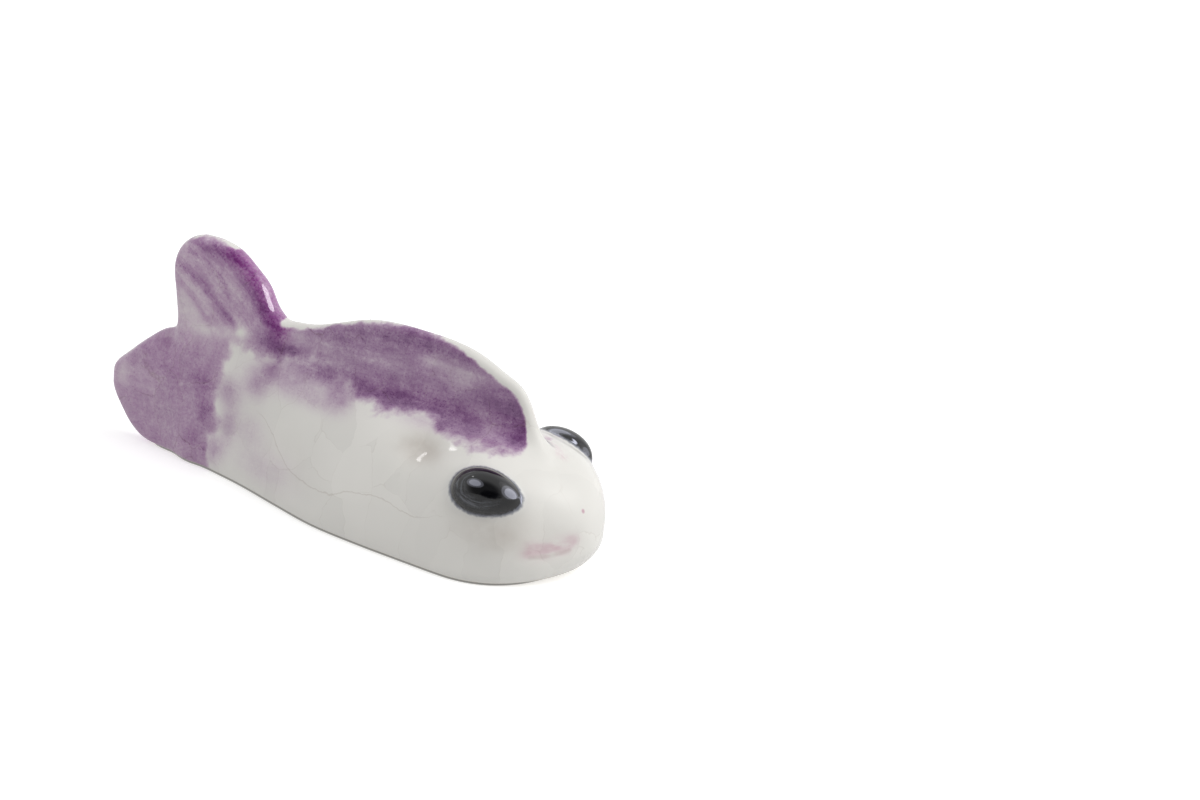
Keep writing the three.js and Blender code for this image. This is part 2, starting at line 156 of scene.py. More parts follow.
# %% A block of space around the fish, with one number for every point of a fine grid
CELL = 0.35
low_corner = np.array([-47.0, -18.0, -1.93])
counts = np.array([255, 104, 108])
gx, gy, gz = (low_corner[axis] + CELL * np.arange(counts[axis]) for axis in range(3))
X, Y, Z = gx[:, None, None], gy[None, :, None], gz[None, None, :]
print("grid points:", int(counts.prod()))


def as_distance(field):
    """Turns a field into millimetres by dividing it by its slope."""
    slope = np.sqrt(sum(part ** 2 for part in np.gradient(field, CELL)))
    return np.clip(field / np.maximum(slope, 1e-4), -6, 6)


def melt(one, other, softness):
    """Joins two fields with a fillet: a smooth minimum."""
    near = np.maximum(softness - np.abs(one - other), 0)
    return np.minimum(one, other) - near * near / (4 * softness)


def trim(one, other, softness):
    """Keeps what is inside both fields, with a rounded edge: a smooth maximum."""
    return -melt(-one, -other, softness)


def soften(field, rounds):
    """Blurs a field, as a damp sponge rounds off clay."""
    for _ in range(rounds):
        for axis in range(3):
            padded = np.pad(field, [(1, 1) if a == axis else (0, 0) for a in range(3)], "edge")
            moved = np.moveaxis(padded, axis, 0)
            field = np.moveaxis((moved[:-2] + 2 * moved[1:-1] + moved[2:]) / 4, 0, axis)
    return field


# %% Reading a grid between its points
CORNERS = np.array([(a, b, c) for a in (0, 1) for b in (0, 1) for c in (0, 1)])


class Sampler:
    """Reads a field, and its slope, between the points of the grid."""

    def __init__(self, field):
        self.field = field
        self.slopes = np.gradient(field, CELL)

    def read(self, grid, points):
        place = np.clip((points - low_corner) / CELL, 0, counts - 1.001)
        base = place.astype(int)
        share = place - base
        value = 0
        for corner in CORNERS:
            weight = np.prod(np.where(corner == 1, share, 1 - share), axis=1)
            value = value + weight * grid[tuple((base + corner).T)]
        return value

    def __call__(self, points):
        return self.read(self.field, points)

    def slope(self, points):
        return np.stack([self.read(part, points) for part in self.slopes], 1)


# %% The body's wall
def body_wall():
    """The loaf of the body as a field, before its foot is cut."""
    top, power = open_ridge(X), fullness(X)
    middle = mix(FOOT_EDGE_HEIGHT, NOSE_TIP_HEIGHT, ease(CHIN_FROM, CHIN_TO, X))
    side = (np.abs(Y - centre_line(X)) / half_width(X)) ** power
    rise = (np.maximum(Z - middle, 0) / (top - middle)) ** power
    upward = rise / np.maximum(side + rise, 1e-9)
    radius = (side + rise) ** (1 / power)
    length = mix(CHEEK_LENGTH, FOREHEAD_LENGTH, upward)
    bend = mix(CHEEK_POWER, FOREHEAD_POWER, upward)
    under = np.clip((NOSE_TIP_HEIGHT - Z) / NOSE_TIP_HEIGHT, 0, 1)
    front = np.clip((X - NOSE + CHEEK_LENGTH) / CHEEK_LENGTH, 0, 1) ** 2
    recess = CHIN_LENGTH * front * (1 - np.sqrt(1 - under ** 2))
    ahead = np.maximum((X + recess - NOSE + length) / length, 0)
    wall = as_distance((radius ** bend + ahead ** bend) ** (1 / bend) - 1)
    return trim(wall, TAIL_END - X + 0 * wall, TAIL_END_SOFTNESS)


wall = body_wall()
print("half the body's width near the eyes in mm:", round(float(half_width(30)), 1))

# %% [markdown]
# The fin and the two tail lobes are flat plates with rounded rims.
# Each is an outline in the fish's middle plane and a thickness.
# The distance to the outline is exact, and rolling a round rim along it gives the plate.

# %% Plates from outlines
def outline_distance(points, x, z):
    """The distance to a closed outline, negative inside it."""
    nearest = np.full(np.broadcast(x, z).shape, 1e3)
    inside = np.zeros(nearest.shape, bool)
    for (ax, az), (bx, bz) in zip(points, np.roll(points, -1, axis=0)):
        dx, dz = bx - ax, bz - az
        along = np.clip(((x - ax) * dx + (z - az) * dz) / max(dx * dx + dz * dz, 1e-9), 0, 1)
        nearest = np.minimum(nearest, np.hypot(x - ax - along * dx, z - az - along * dz))
        if dz != 0:
            inside ^= ((az <= z) != (bz <= z)) & (x < ax + (z - az) * dx / dz)
    return np.where(inside, -nearest, nearest)


def outline_between(one, other):
    """A closed outline that runs forward along one line and back along the other."""
    return np.concatenate([np.stack(one, 1), np.stack(other, 1)[::-1]])


FLAT_X, FLAT_Z = gx[:, None], gz[None, :]
LEAN, LEAN_START, LOBE_TOP = 2.1, 15, 34.3
LEAN_GONE = -17, -3


def middle_plane(x, z):
    """Where the middle of the plates lies across the fish: the tail leans to the left."""
    lean = LEAN * np.maximum((z - LEAN_START) / (LOBE_TOP - LEAN_START), 0)
    return centre_line(x) + lean * (1 - ease(*LEAN_GONE, x))


def plate(distance, half):
    """A plate with a round rim, from the distance to its outline and half its thickness."""
    side = np.abs(Y - middle_plane(X, Z))
    past = np.maximum(distance + half, 0)[:, None, :]
    return np.hypot(past, side) - half[:, None, :]


# %% Dorsal fin
crest = curve_through(
    [-15, -10, -5, 0, 5, 9, 13, 18.3, 22.6, 25.9, 27.5, 29, 30.8],
    [24.9, 25.9, 27.7, 29.2, 30.0, 30.2, 29.9, 28.7, 27.0, 25.5, 23.5, 20.3, 16.4],
)
FIN_CREST_HALF, FIN_BASE_HALF = 1.1, 2.6
FIN_ROOT, FIN_FOOT = 6, 2
along = np.linspace(-21, 31, 90)
fin_outline = outline_between((along, crest(along)), (along, ridge_height(along) - FIN_ROOT))
fin_rim = outline_distance(fin_outline, FLAT_X, FLAT_Z)
ridge_now = ridge_height(gx)[:, None]
crest_now = crest(gx)[:, None]
fin_height = np.maximum(crest_now - ridge_now + FIN_FOOT, FIN_FOOT)
fall = np.clip((crest_now - FLAT_Z) / fin_height, 0, 1)
fin = plate(fin_rim, mix(FIN_CREST_HALF, FIN_BASE_HALF, fall ** 2))

# %% Upper tail lobe
UPPER_AT = [9, 19, 25, 27, 28.6, 30.2, 31.7, 33, 33.9, 34.3]
upper_back = curve_through(
    UPPER_AT, [-33.2, -33.2, -34.1, -34.6, -34.8, -34.6, -34.0, -32.9, -31.5, -30.2])
upper_front = curve_through(
    UPPER_AT, [-14, -14, -15, -16.6, -17.5, -18.9, -21.0, -23.0, -25.2, -27.4])
UPPER_HALF, LOBE_BASE_HALF = 1.6, 2.6
heights = np.linspace(6, LOBE_TOP, 70)
upper_outline = outline_between((upper_front(heights), heights), (upper_back(heights), heights))
upper_rim = outline_distance(upper_outline, FLAT_X, FLAT_Z)
upper_share = np.clip((FLAT_Z - UPPER_AT[0]) / (LOBE_TOP - UPPER_AT[0]), 0, 1)
upper_lobe = plate(upper_rim, mix(LOBE_BASE_HALF, UPPER_HALF, upper_share) + 0 * FLAT_X)

# %% Lower tail lobe
LOWER_AT = [-43.6, -43, -42, -40.5, -38, -35.5, -33, -29, -27]
lower_low = curve_through(LOWER_AT, [7.6, 6.2, 4.6, 2.6, 0.7, -0.6, -1.2, -1.5, -1.5])
lower_high = curve_through(LOWER_AT, [10.6, 11.6, 12.6, 14.0, 16.4, 18.6, 20.2, 20.2, 20.2])
LOWER_HALF, LOWER_TOP = 1.5, 20.2
along = np.linspace(LOWER_AT[0], -25, 70)
lower_outline = outline_between((along, lower_high(along)), (along, lower_low(along)))
lower_rim = outline_distance(lower_outline, FLAT_X, FLAT_Z)
taper = np.clip((FLAT_X - LOWER_AT[0]) / (TAIL_END - LOWER_AT[0]), 0, 1)
lower_share = np.clip(FLAT_Z / LOWER_TOP, 0, 1)
lower_lobe = plate(lower_rim, mix(LOWER_HALF, mix(LOBE_BASE_HALF, LOWER_HALF, lower_share), taper))

# %% [markdown]
# Now the plates are melted together, and then onto the body, with a wider fillet where a
# thumb has smoothed the slip. The foot is cut last, because the fish was wiped flat on a board.

# %% One lump of clay
FIN_FILLET, LOBE_FILLET, FOOT_FILLET = 1.6, 1.2, 3.4
plates = melt(melt(fin, upper_lobe, FIN_FILLET), lower_lobe, LOBE_FILLET)
clay = melt(wall, plates, FOOT_FILLET)

# The valley between the lobes, pressed in from the end of the body to the notch
NOTCH_X, NOTCH_Z = -33.4, 19.6
VALLEY = np.array([[TAIL_END + 1, END_RIDGE - 2], [NOTCH_X - 1, NOTCH_Z + 2]])
VALLEY_DEPTH, VALLEY_WIDTH = 0.45, 1.3
run = VALLEY[1] - VALLEY[0]
from_x, from_z = FLAT_X - VALLEY[0, 0], FLAT_Z - VALLEY[0, 1]
share = np.clip((from_x * run[0] + from_z * run[1]) / run.dot(run), 0, 1)
from_valley = np.hypot(from_x - share * run[0], from_z - share * run[1])
clay += (VALLEY_DEPTH * np.exp(-(from_valley / VALLEY_WIDTH) ** 2))[:, None, :]

# %% [markdown]
# Hands leave marks. A few broad waves make the skin slightly uneven, and they fade out at the
# foot, which was wiped flat. Shallow thumb dents lie beside the fin, two on the right side
# towards the eye and one on the left.

# %% Uneven skin and thumb dents
chance = np.random.default_rng(11)
WAVES, WAVE_HEIGHT, WAVE_LENGTHS = 14, 0.07, (12, 30)
EVEN_BELOW, UNEVEN_ABOVE = 0.5, 4
unevenness = np.zeros(tuple(counts))
for _ in range(WAVES):
    direction = chance.normal(size=3)
    turns = direction / np.linalg.norm(direction) * 2 * math.pi / chance.uniform(*WAVE_LENGTHS)
    phase = chance.uniform(0, 2 * math.pi)
    unevenness += WAVE_HEIGHT * np.sin(turns[0] * X + turns[1] * Y + turns[2] * Z + phase)
clay += unevenness * ease(EVEN_BELOW, UNEVEN_ABOVE, Z)

# Each dent: its middle, its half length along the fish, its half height, and its depth
DENTS = [
    ((15.4, -8.2, 16.0), 4.4, 2.6, 0.95),
    ((21.5, -8.0, 16.8), 2.6, 1.7, 0.35),
    ((4.0, 7.6, 15.6), 5.5, 3.4, 0.7),
]
for (dent_x, dent_y, dent_z), half_length, half_height, depth in DENTS:
    spread = ((X - dent_x) / half_length) ** 2 + ((Y - dent_y) / half_height) ** 2
    spread = spread + ((Z - dent_z) / half_height) ** 2
    clay += depth * np.exp(-spread)

clay = trim(clay, -Z + 0 * clay, FOOT_EDGE_SOFTNESS)

# %% [markdown]
# When the fish was pressed on the board, clay crept out along its left side and was folded back.
# That left a slanting strip along the left edge of the foot, with a ragged crease beside it.
# The strip is cut with a slanting plane, and the crease is a groove of changing depth.

# %% The fold along the left edge of the foot
FOLD_SLOPE, FOLD_SOFTNESS = math.radians(25), 0.35
CREASE_DEPTH, CREASE_WIDTH = 0.6, 0.42
FOLD_INSETS, FOLD_STARTS, FOLD_ENDS = (1.3, 3.6), (-34, -27), (20, 29)


def fold_line(x):
    """Where the fold starts on the foot, and how much of it is there."""
    ripple = 0.22 * np.sin(0.9 * x) + 0.12 * np.sin(2.3 * x + 1)
    inset = mix(*FOLD_INSETS, ease(TAIL_END, -8, x)) + ripple
    share = ease(*FOLD_STARTS, x) * (1 - ease(*FOLD_ENDS, x))
    return centre_line(x) + half_width(x) - inset, share


def ragged(x):
    """How deep the crease is: it comes and goes along the fold."""
    return 0.65 + 0.35 * np.sin(1.7 * x + 0.6) * np.sin(0.47 * x + 2)


line_y, line_share = fold_line(X)
strip = (Y - line_y) * math.sin(FOLD_SLOPE) - Z * math.cos(FOLD_SLOPE) - 3 * (1 - line_share)
clay = trim(clay, strip, FOLD_SOFTNESS)
groove = np.exp(-((Y - line_y + 0.1) ** 2 + (Z - 0.1) ** 2) / CREASE_WIDTH ** 2)
clay += CREASE_DEPTH * ragged(X) * line_share * groove
print("the fold starts", round(float(fold_line(0)[0]), 1), "mm left of the middle plane")

# %% [markdown]
# The eyes are pellets pressed onto the head, so their domes follow its curve.
# Along the skin each is an ellipse, and outwards it rises two to three millimetres.

# %% Eye domes
EYE_HALF_LENGTH, EYE_HALF_HEIGHT = 5.1, 3.35
EYE_TILT, EYE_TAPER = math.radians(5), 0.14
EYE_FILLET = 0.5
FIRST_GUESS = 11.0
EYE_DEPTH_LIMIT = 5
wall_at = Sampler(wall)


def skin_point(x, height, side):
    """The point of the head's side at x and at a height, and the direction that it faces."""
    point = np.array([[x, side * FIRST_GUESS, height]])
    for _ in range(12):
        slope = wall_at.slope(point)
        point[:, 1] -= wall_at(point) / slope[:, 1]
    return point[0], slope[0] / np.linalg.norm(slope[0])


def eye_frame(x, height, side, rise):
    """Where an eye sits: its middle on the skin, its three directions and how far it rises."""
    middle, outward = skin_point(x, height, side)
    ahead = np.array([1, 0, 0]) - outward[0] * outward
    ahead /= np.linalg.norm(ahead)
    over = np.cross(ahead, outward) * side
    over *= np.sign(over[2])
    ahead, over = (
        math.cos(EYE_TILT) * ahead + math.sin(EYE_TILT) * over,
        math.cos(EYE_TILT) * over - math.sin(EYE_TILT) * ahead,
    )
    return {"middle": middle, "outward": outward, "ahead": ahead, "over": over, "rise": rise}


# Each eye: its place along the fish, its height, its side and its rise
EYES = {
    "right_eye": eye_frame(28.0, 13.7, -1, 2.9),
    "left_eye": eye_frame(28.4, 14.5, 1, 2.1),
}


def eye_place(eye, x, y, z):
    """A place on an eye: along it and up it, where its rim is at 1, and out of the head."""
    offset = (x - eye["middle"][0], y - eye["middle"][1], z - eye["middle"][2])
    dot = lambda axis: sum(part * value for part, value in zip(eye[axis], offset))
    along = dot("ahead") / EYE_HALF_LENGTH
    taper = 1 - EYE_TAPER * np.clip(along, -1.3, 1.3)
    return along, dot("over") / (EYE_HALF_HEIGHT * taper), dot("outward")


def eye_ring(eye, x, y, z):
    """0 at the middle of an eye, 1 at its rim, and the distance out of the head."""
    along, over, out = eye_place(eye, x, y, z)
    return np.hypot(along, over), out


head = clay
for eye in EYES.values():
    ring, out = eye_ring(eye, X, Y, Z)
    size = np.sqrt(ring ** 2 + (head / eye["rise"]) ** 2)
    dome = as_distance(size - 1)
    # The same dome would come out again on the far side of the head
    dome = np.where(out > -EYE_DEPTH_LIMIT, dome, 6)
    clay = melt(clay, dome, EYE_FILLET)
    print("eye at", eye["middle"].round(1), "faces", eye["outward"].round(2))

clay = soften(clay, 3)

# %% [markdown]
# The field becomes a mesh by surface nets: one point in every grid cell that the skin passes
# through, and one four-sided face round every grid line that it crosses. The points are then
# slid onto the skin along its slope, and that slope also gives exact normals for shading.

# %% Surface nets
EDGES = [(i, j) for i in range(8) for j in range(i + 1, 8) if abs(CORNERS[i] - CORNERS[j]).sum() == 1]


def surface_nets(field):
    """The points and four-sided faces of the skin on which a field is zero."""
    solid = field < 0
    filled = sum(
        solid[a:counts[0] - 1 + a, b:counts[1] - 1 + b, c:counts[2] - 1 + c].astype(np.int8)
        for a, b, c in CORNERS
    )
    cells = np.argwhere((filled > 0) & (filled < 8))
    number = np.full(tuple(counts - 1), -1)
    number[tuple(cells.T)] = np.arange(len(cells))
    values = np.stack([field[tuple((cells + corner).T)] for corner in CORNERS], 1)
    total, hits = np.zeros((len(cells), 3)), np.zeros(len(cells))
    for i, j in EDGES:
        crossed = (values[:, i] < 0) != (values[:, j] < 0)
        share = np.where(crossed, values[:, i] / np.where(crossed, values[:, i] - values[:, j], 1), 0)
        spot = CORNERS[i] + share[:, None] * (CORNERS[j] - CORNERS[i])
        total += np.where(crossed[:, None], spot, 0)
        hits += crossed
    points = low_corner + CELL * (cells + total / hits[:, None])
    quads = []
    for axis in range(3):
        one, two = (axis + 1) % 3, (axis + 2) % 3
        first = [slice(None)] * 3
        second = [slice(None)] * 3
        first[axis], second[axis] = slice(None, -1), slice(1, None)
        here, there = solid[tuple(first)], solid[tuple(second)]
        for leaving in (True, False):
            lines = np.argwhere((here & ~there) if leaving else (~here & there))
            ring = []
            for shift_one, shift_two in ((-1, -1), (0, -1), (0, 0), (-1, 0)):
                cell = lines.copy()
                cell[:, one] += shift_one
                cell[:, two] += shift_two
                ring.append(number[tuple(cell.T)])
            quads.append(np.stack(ring if leaving else ring[::-1], 1))
    return points, np.concatenate(quads)


clay_at = Sampler(clay)


def onto_skin(points, rounds):
    """Slides points onto the skin of the clay along its slope."""
    for _ in range(rounds):
        slope = clay_at.slope(points)
        steep = np.maximum((slope ** 2).sum(1), 0.05)
        points = points - 0.9 * (clay_at(points) / steep)[:, None] * slope
    return points


def even_out(points, quads):
    """Moves each point towards the middle of its neighbours, then back onto the skin."""
    total, hits = np.zeros_like(points), np.zeros(len(points))
    for a, b in ((0, 1), (1, 2), (2, 3), (3, 0)):
        np.add.at(total, quads[:, a], points[quads[:, b]])
        np.add.at(hits, quads[:, a], 1)
        np.add.at(total, quads[:, b], points[quads[:, a]])
        np.add.at(hits, quads[:, b], 1)
    return points + 0.5 * (total / hits[:, None] - points)


points, quads = surface_nets(clay)
points = onto_skin(points, 3)
for _ in range(2):
    points = onto_skin(even_out(points, quads), 2)
print("skin points:", len(points), "faces:", len(quads))

# %% [markdown]
# On the real fish the body, the fin, the lobes of the tail and the eyes were made one by one.
# The skin is therefore cut into those pieces along their slip joints. Each cut is the line where
# a number changes its sign: how far a point lies from the body's own wall, from the valley
# between the lobes, or from the edge of an eye. Faces that a line crosses are split along it.

# %% Splitting the skin along a line
# A point that is nearer to a line than this counts as on it
SNAP = 0.05


def split_skin(points, faces, sides, number_at):
    """Splits the faces where the number changes its sign, and notes each face's side."""
    numbers = number_at(points)
    numbers[np.abs(numbers) < SNAP] = 0
    crossed = (numbers[faces].min(1) < 0) & (numbers[faces].max(1) > 0)
    added, between = [], {}

    def crossing(a, b):
        a, b = min(a, b), max(a, b)
        if (a, b) not in between:
            between[a, b] = len(points) + len(added)
            added.append(mix(points[a], points[b], numbers[a] / (numbers[a] - numbers[b])))
        return between[a, b]

    parts, parents = [], []
    for index in np.flatnonzero(crossed):
        a, b, c = faces[index]
        ring = []
        for one, two in ((a, b), (b, c), (c, a)):
            ring.append(one)
            if numbers[one] * numbers[two] < 0:
                ring.append(crossing(one, two))
        for sign in (-1, 1):
            part = [p for p in ring if p >= len(points) or numbers[p] * sign >= 0]
            for second, third in zip(part[1:-1], part[2:]):
                parts.append((part[0], second, third))
                parents.append(index)
    kept = ~crossed
    faces = np.concatenate([faces[kept], np.array(parts, int).reshape(-1, 3)])
    sides = np.concatenate([sides[kept], sides[np.array(parents, int)]])
    points = np.concatenate([points, onto_skin(np.array(added).reshape(-1, 3), 2)])
    numbers = np.concatenate([numbers, np.zeros(len(added))])
    total = numbers[faces].sum(1)
    flat = number_at(points[faces].mean(1))
    sides = np.column_stack([sides, np.where(total == 0, flat, total) < 0])
    return points, faces, sides


# %% The joint lines
EYE_JOINT_RING = 1.03
BODY_JOINT = 0.6
FIN_JOINT_X = -15.15


# Each function gives a number for every point, negative in its piece and positive past it
def past_eye(name):
    def number_at(points):
        ring, out = eye_ring(EYES[name], *points.T)
        return np.maximum(4 * (ring - EYE_JOINT_RING), -4 - out)

    return number_at


def past_wall(points):
    return wall_at(points) - BODY_JOINT


def behind_fin(points):
    return FIN_JOINT_X - points[:, 0]


def above_valley(points):
    across = np.array([-run[1], run[0]]) / np.linalg.norm(run)
    return -(points[:, [0, 2]] - VALLEY[0]) @ across


faces = np.concatenate([quads[:, [0, 1, 2]], quads[:, [0, 2, 3]]])
sides = np.zeros((len(faces), 0), bool)
for number_at in (past_eye("right_eye"), past_eye("left_eye"), past_wall, behind_fin, above_valley):
    points, faces, sides = split_skin(points, faces, sides, number_at)
in_right_eye, in_left_eye, in_body, in_fin, under_valley = sides.T
in_body &= ~in_right_eye & ~in_left_eye
in_plates = ~in_body & ~in_right_eye & ~in_left_eye
PIECES = {
    "body": in_body,
    "dorsal_fin": in_plates & in_fin,
    "tail_upper_lobe": in_plates & ~in_fin & ~under_valley,
    "tail_lower_lobe": in_plates & ~in_fin & under_valley,
    "right_eye": in_right_eye,
    "left_eye": in_left_eye,
}
normals = clay_at.slope(points)
normals /= np.linalg.norm(normals, axis=1)[:, None]

# %% [markdown]
# A cut piece is open where it was joined, and a real piece is solid there. The open edge of a
# fin or a lobe runs down one side and up the other, so a strip of faces sewn from side to side
# closes it. An eye is round, so its open edge is closed by a fan towards a sunk middle point.

# %% Closing the joints
def open_loops(faces):
    """The loops of edges that have a face on one side only, in the direction of that face."""
    edges = set()
    for a, b, c in faces.tolist():
        edges.update(((a, b), (b, c), (c, a)))
    following = {a: b for a, b in edges if (b, a) not in edges}
    loops = []
    while following:
        loop = [next(iter(following))]
        while loop[-1] in following:
            loop.append(following.pop(loop[-1]))
        loops.append(loop[:-1])
    return loops


def sewn_strip(points, loop):
    """Faces from side to side across a long loop, between its two points in the middle plane."""
    place = points[loop]
    side = place[:, 1] - middle_plane(place[:, 0], place[:, 2])
    turns = [i for i in range(len(loop)) if side[i - 1] * side[i] <= 0 and side[i - 1] != 0]
    assert len(turns) == 2, "the loop crosses the middle plane %d times" % len(turns)
    first, last = turns
    one = loop[first:last + 1]
    other = (loop[last:] + loop[:first + 1])[::-1]
    strip, i, j = [], 0, 0
    while i < len(one) - 1 or j < len(other) - 1:
        step_one = step_other = 1e3
        if i < len(one) - 1:
            step_one = np.linalg.norm(points[one[i + 1]] - points[other[j]])
        if j < len(other) - 1:
            step_other = np.linalg.norm(points[other[j + 1]] - points[one[i]])
        if step_one <= step_other:
            face = (one[i + 1], one[i], other[j])
            i += 1
        else:
            face = (other[j], other[j + 1], one[i])
            j += 1
        if len(set(face)) == 3:
            strip.append(face)
    return strip


SOCKET_DEPTH = 1.2


def closed_piece(name):
    """One piece's points, faces and corner normals, with its joints closed."""
    skin_faces = faces[PIECES[name]]
    piece_points, caps = points, []
    for loop in open_loops(skin_faces):
        place = points[loop]
        nearest = min(EYES.values(), key=lambda eye: np.linalg.norm(place.mean(0) - eye["middle"]))
        if np.linalg.norm(place.mean(0) - nearest["middle"]) < EYE_HALF_HEIGHT:
            sunk = place.mean(0) - SOCKET_DEPTH * nearest["outward"]
            caps += [(b, a, len(piece_points)) for a, b in zip(loop, loop[1:] + loop[:1])]
            piece_points = np.concatenate([piece_points, sunk[None]])
        else:
            caps += sewn_strip(points, loop)
    caps = np.array(caps)
    flat = np.cross(
        piece_points[caps[:, 1]] - piece_points[caps[:, 0]],
        piece_points[caps[:, 2]] - piece_points[caps[:, 0]],
    )
    flat /= np.maximum(np.linalg.norm(flat, axis=1), 1e-9)[:, None]
    corner_normals = np.concatenate([normals[skin_faces].reshape(-1, 3), np.repeat(flat, 3, axis=0)])
    whole = np.concatenate([skin_faces, caps])
    used, whole = np.unique(whole, return_inverse=True)
    return piece_points[used], whole.reshape(-1, 3), corner_normals


# %% The six pieces
def make_piece(name, slot, points, faces, corner_normals):
    """A mesh with smooth shading and exact normals, in place of the CAD model's piece."""
    mesh = bpy.data.meshes.new(name)
    mesh.from_pydata((points * MM).tolist(), [], faces.tolist())
    mesh.shade_smooth()
    mesh.normals_split_custom_set(corner_normals.tolist())
    piece = bpy.data.objects.new(name + "_clay", mesh)
    bpy.context.scene.collection.objects.link(piece)
    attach(piece, "root")
    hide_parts(name)
    loops = open_loops(faces)
    print(name, "faces:", len(faces), "open loops:", len(loops))
    return piece


SLOTS = {
    "body": "glazed_body",
    "dorsal_fin": "washed_fin",
    "tail_upper_lobe": "washed_tail",
    "tail_lower_lobe": "washed_tail",
    "right_eye": "black_eye",
    "left_eye": "black_eye",
}
pieces = {name: make_piece(name, slot, *closed_piece(name)) for name, slot in SLOTS.items()}

# %% [markdown]
# The purple is a thin wash of colour under the glaze, brushed on by hand, so it pools in the
# hollows, thins out on the ridges and was wiped off the rims. Where each mark lies is measured
# here for every point of the skin and kept on the mesh as named attributes. Distances are in
# millimetres, and amounts are shares of one full coat.
# The materials later turn these into colour, and add the fine detail that a mesh can't hold.

# %% Paths and spots on the skin
def path_distance(places, path):
    """How far each place is from a path of straight steps."""
    path = np.array(path, float)
    nearest = np.full(len(places), 1e3)
    for start, end in zip(path[:-1], path[1:]):
        step = end - start
        share = np.clip((places - start) @ step / step.dot(step), 0, 1)
        offset = places - start - share[:, None] * step
        nearest = np.minimum(nearest, np.linalg.norm(offset, axis=1))
    return nearest


def spots(x, z, places):
    """The sum of soft spots, each with a place, a half length, a half height and an amount."""
    total = np.zeros_like(x)
    for at_x, at_z, half_length, half_height, amount in places:
        total += amount * np.exp(-((x - at_x) / half_length) ** 2 - ((z - at_z) / half_height) ** 2)
    return total


# %% Where the wash was brushed
fin_paint_low = curve_through(
    [-24, -15.2, -11.1, -7.6, -4.8, -0.6, 1.1, 5.4, 8.7, 12.9, 16.3, 20.7, 24.0, 27.1, 29.6],
    [20.2, 20.0, 20.5, 21.3, 20.0, 20.0, 19.0, 18.4, 18.6, 19.2, 18.0, 17.5, 17.5, 17.7, 17.7])
tail_paint_right = curve_through(
    [0, 2.7, 5.4, 8.1, 9.3, 11.8, 14.3, 18.2, 19.7],
    [-23.2, -23.4, -23.5, -21.3, -22.5, -22.8, -23.2, -22.1, -22.4])
tail_paint_left = curve_through([0, 3, 7, 11, 15, 20], [-17, -15.5, -18.5, -20.5, -18.5, -16])
FIN_PAINT_FRONT = 29.9
# Each spot: its place along and up, its half length, its half height and its amount
WASH_SPOTS = [
    (5, 19.5, 4, 1.2, 0.35), (11, 20, 5, 1.5, 0.35), (17, 19.3, 5, 1.5, 0.3), (0.6, 20.2, 3, 1.3, 0.2),
    (27.3, 19.3, 1.8, 2.6, 0.6), (25, 22, 2, 2, 0.4), (21.4, 23.5, 2.5, 1.6, 0.25),
    (-1.4, 26.5, 4, 1.2, 0.2), (5.3, 28, 5, 1.2, 0.3), (9, 28.8, 3, 1, 0.35), (15, 28, 5, 1, 0.25),
    (12, 26, 3, 1.2, -0.35), (17, 25, 3, 1.5, -0.3), (-5.6, 23, 4, 1.5, -0.2), (23, 19.3, 1.3, 0.8, -0.2),
    (22.2, 18, 1.2, 0.6, -0.15), (4.8, 23.8, 3, 1, -0.15), (-11, 24, 2, 1, -0.3),
    (-13.7, 21.1, 2.5, 0.9, 0.45), (-11.5, 21.4, 2, 0.8, 0.45), (-16, 22.2, 2, 0.7, 0.3),
    (-28, 26.5, 6, 4.5, -0.09), (-33, 13, 6, 4, 0.12), (-30, 33, 3, 0.8, 0.25), (-26.8, 33, 2, 1, 0.4),
    (-30, 22.6, 4, 3, -0.3), (-31.6, 26, 1.5, 2, -0.2), (-21, 22.1, 2.2, 1.2, -0.55),
    (-25.8, 20.8, 3, 1.2, -0.3), (-23.6, 29, 1.6, 1.5, -0.15),
    (-40.9, 10.3, 1.5, 2, -0.3), (-26, 13.5, 2, 1.5, 0.3), (-24.5, 9.3, 1.5, 2, 0.4),
    (-26.3, 4.5, 1.5, 1.2, 0.2), (-35.6, 10.2, 3, 2, -0.15), (-23.4, 3.2, 1.2, 1, 0.4),
]
PALE_SPOTS = [
    (-14, 18.2, 2, 1.2, 0.25), (-17.5, 15.5, 3, 3, 0.06), (-15.6, 16, 2, 2, 0.22),
    (-20.8, 13.2, 2.2, 1.8, 0.26), (-8.6, 19.8, 4, 1.2, 0.3), (-4.8, 19.5, 3.5, 1.2, 0.3),
    (-1.2, 18, 2, 1.5, 0.35), (-9.9, 17.5, 4.5, 1.8, 0.25), (-4, 16.4, 4, 1.2, 0.12),
    (-19.6, 8.7, 1.5, 3, 0.2), (-15.6, 8.9, 3, 2, 0.1), (-22, 4, 2, 2, 0.25),
    (14, 18.2, 5, 0.8, 0.1), (-11, 5, 6, 2.5, 0.08),
]
# Painted shade: grey spots under the eyes, in the thumb dent and faintly on the flanks, each with its
# place along and up, its half length, its half height and its amount
PAINTED_SHADE_SPOTS = [
    (30.2, 8.4, 5, 2.6, 0.28), (33, 6.5, 3, 2, 0.08), (15.2, 15.4, 3.2, 1.5, 0.5),
    (-6, 8, 7, 3, 0.05),
]
# On the left side the marks lie a little further back and higher, as no two sides are alike
LEFT_SHIFT, LEFT_RISE = 3.5, 0.6
# On the upper lobe the strokes turn downwards, round this place
STROKES_TURN_AT, STROKES_TURN = (-16, 22), math.radians(32)
print("spots of wash:", len(WASH_SPOTS), "pale spots:", len(PALE_SPOTS))

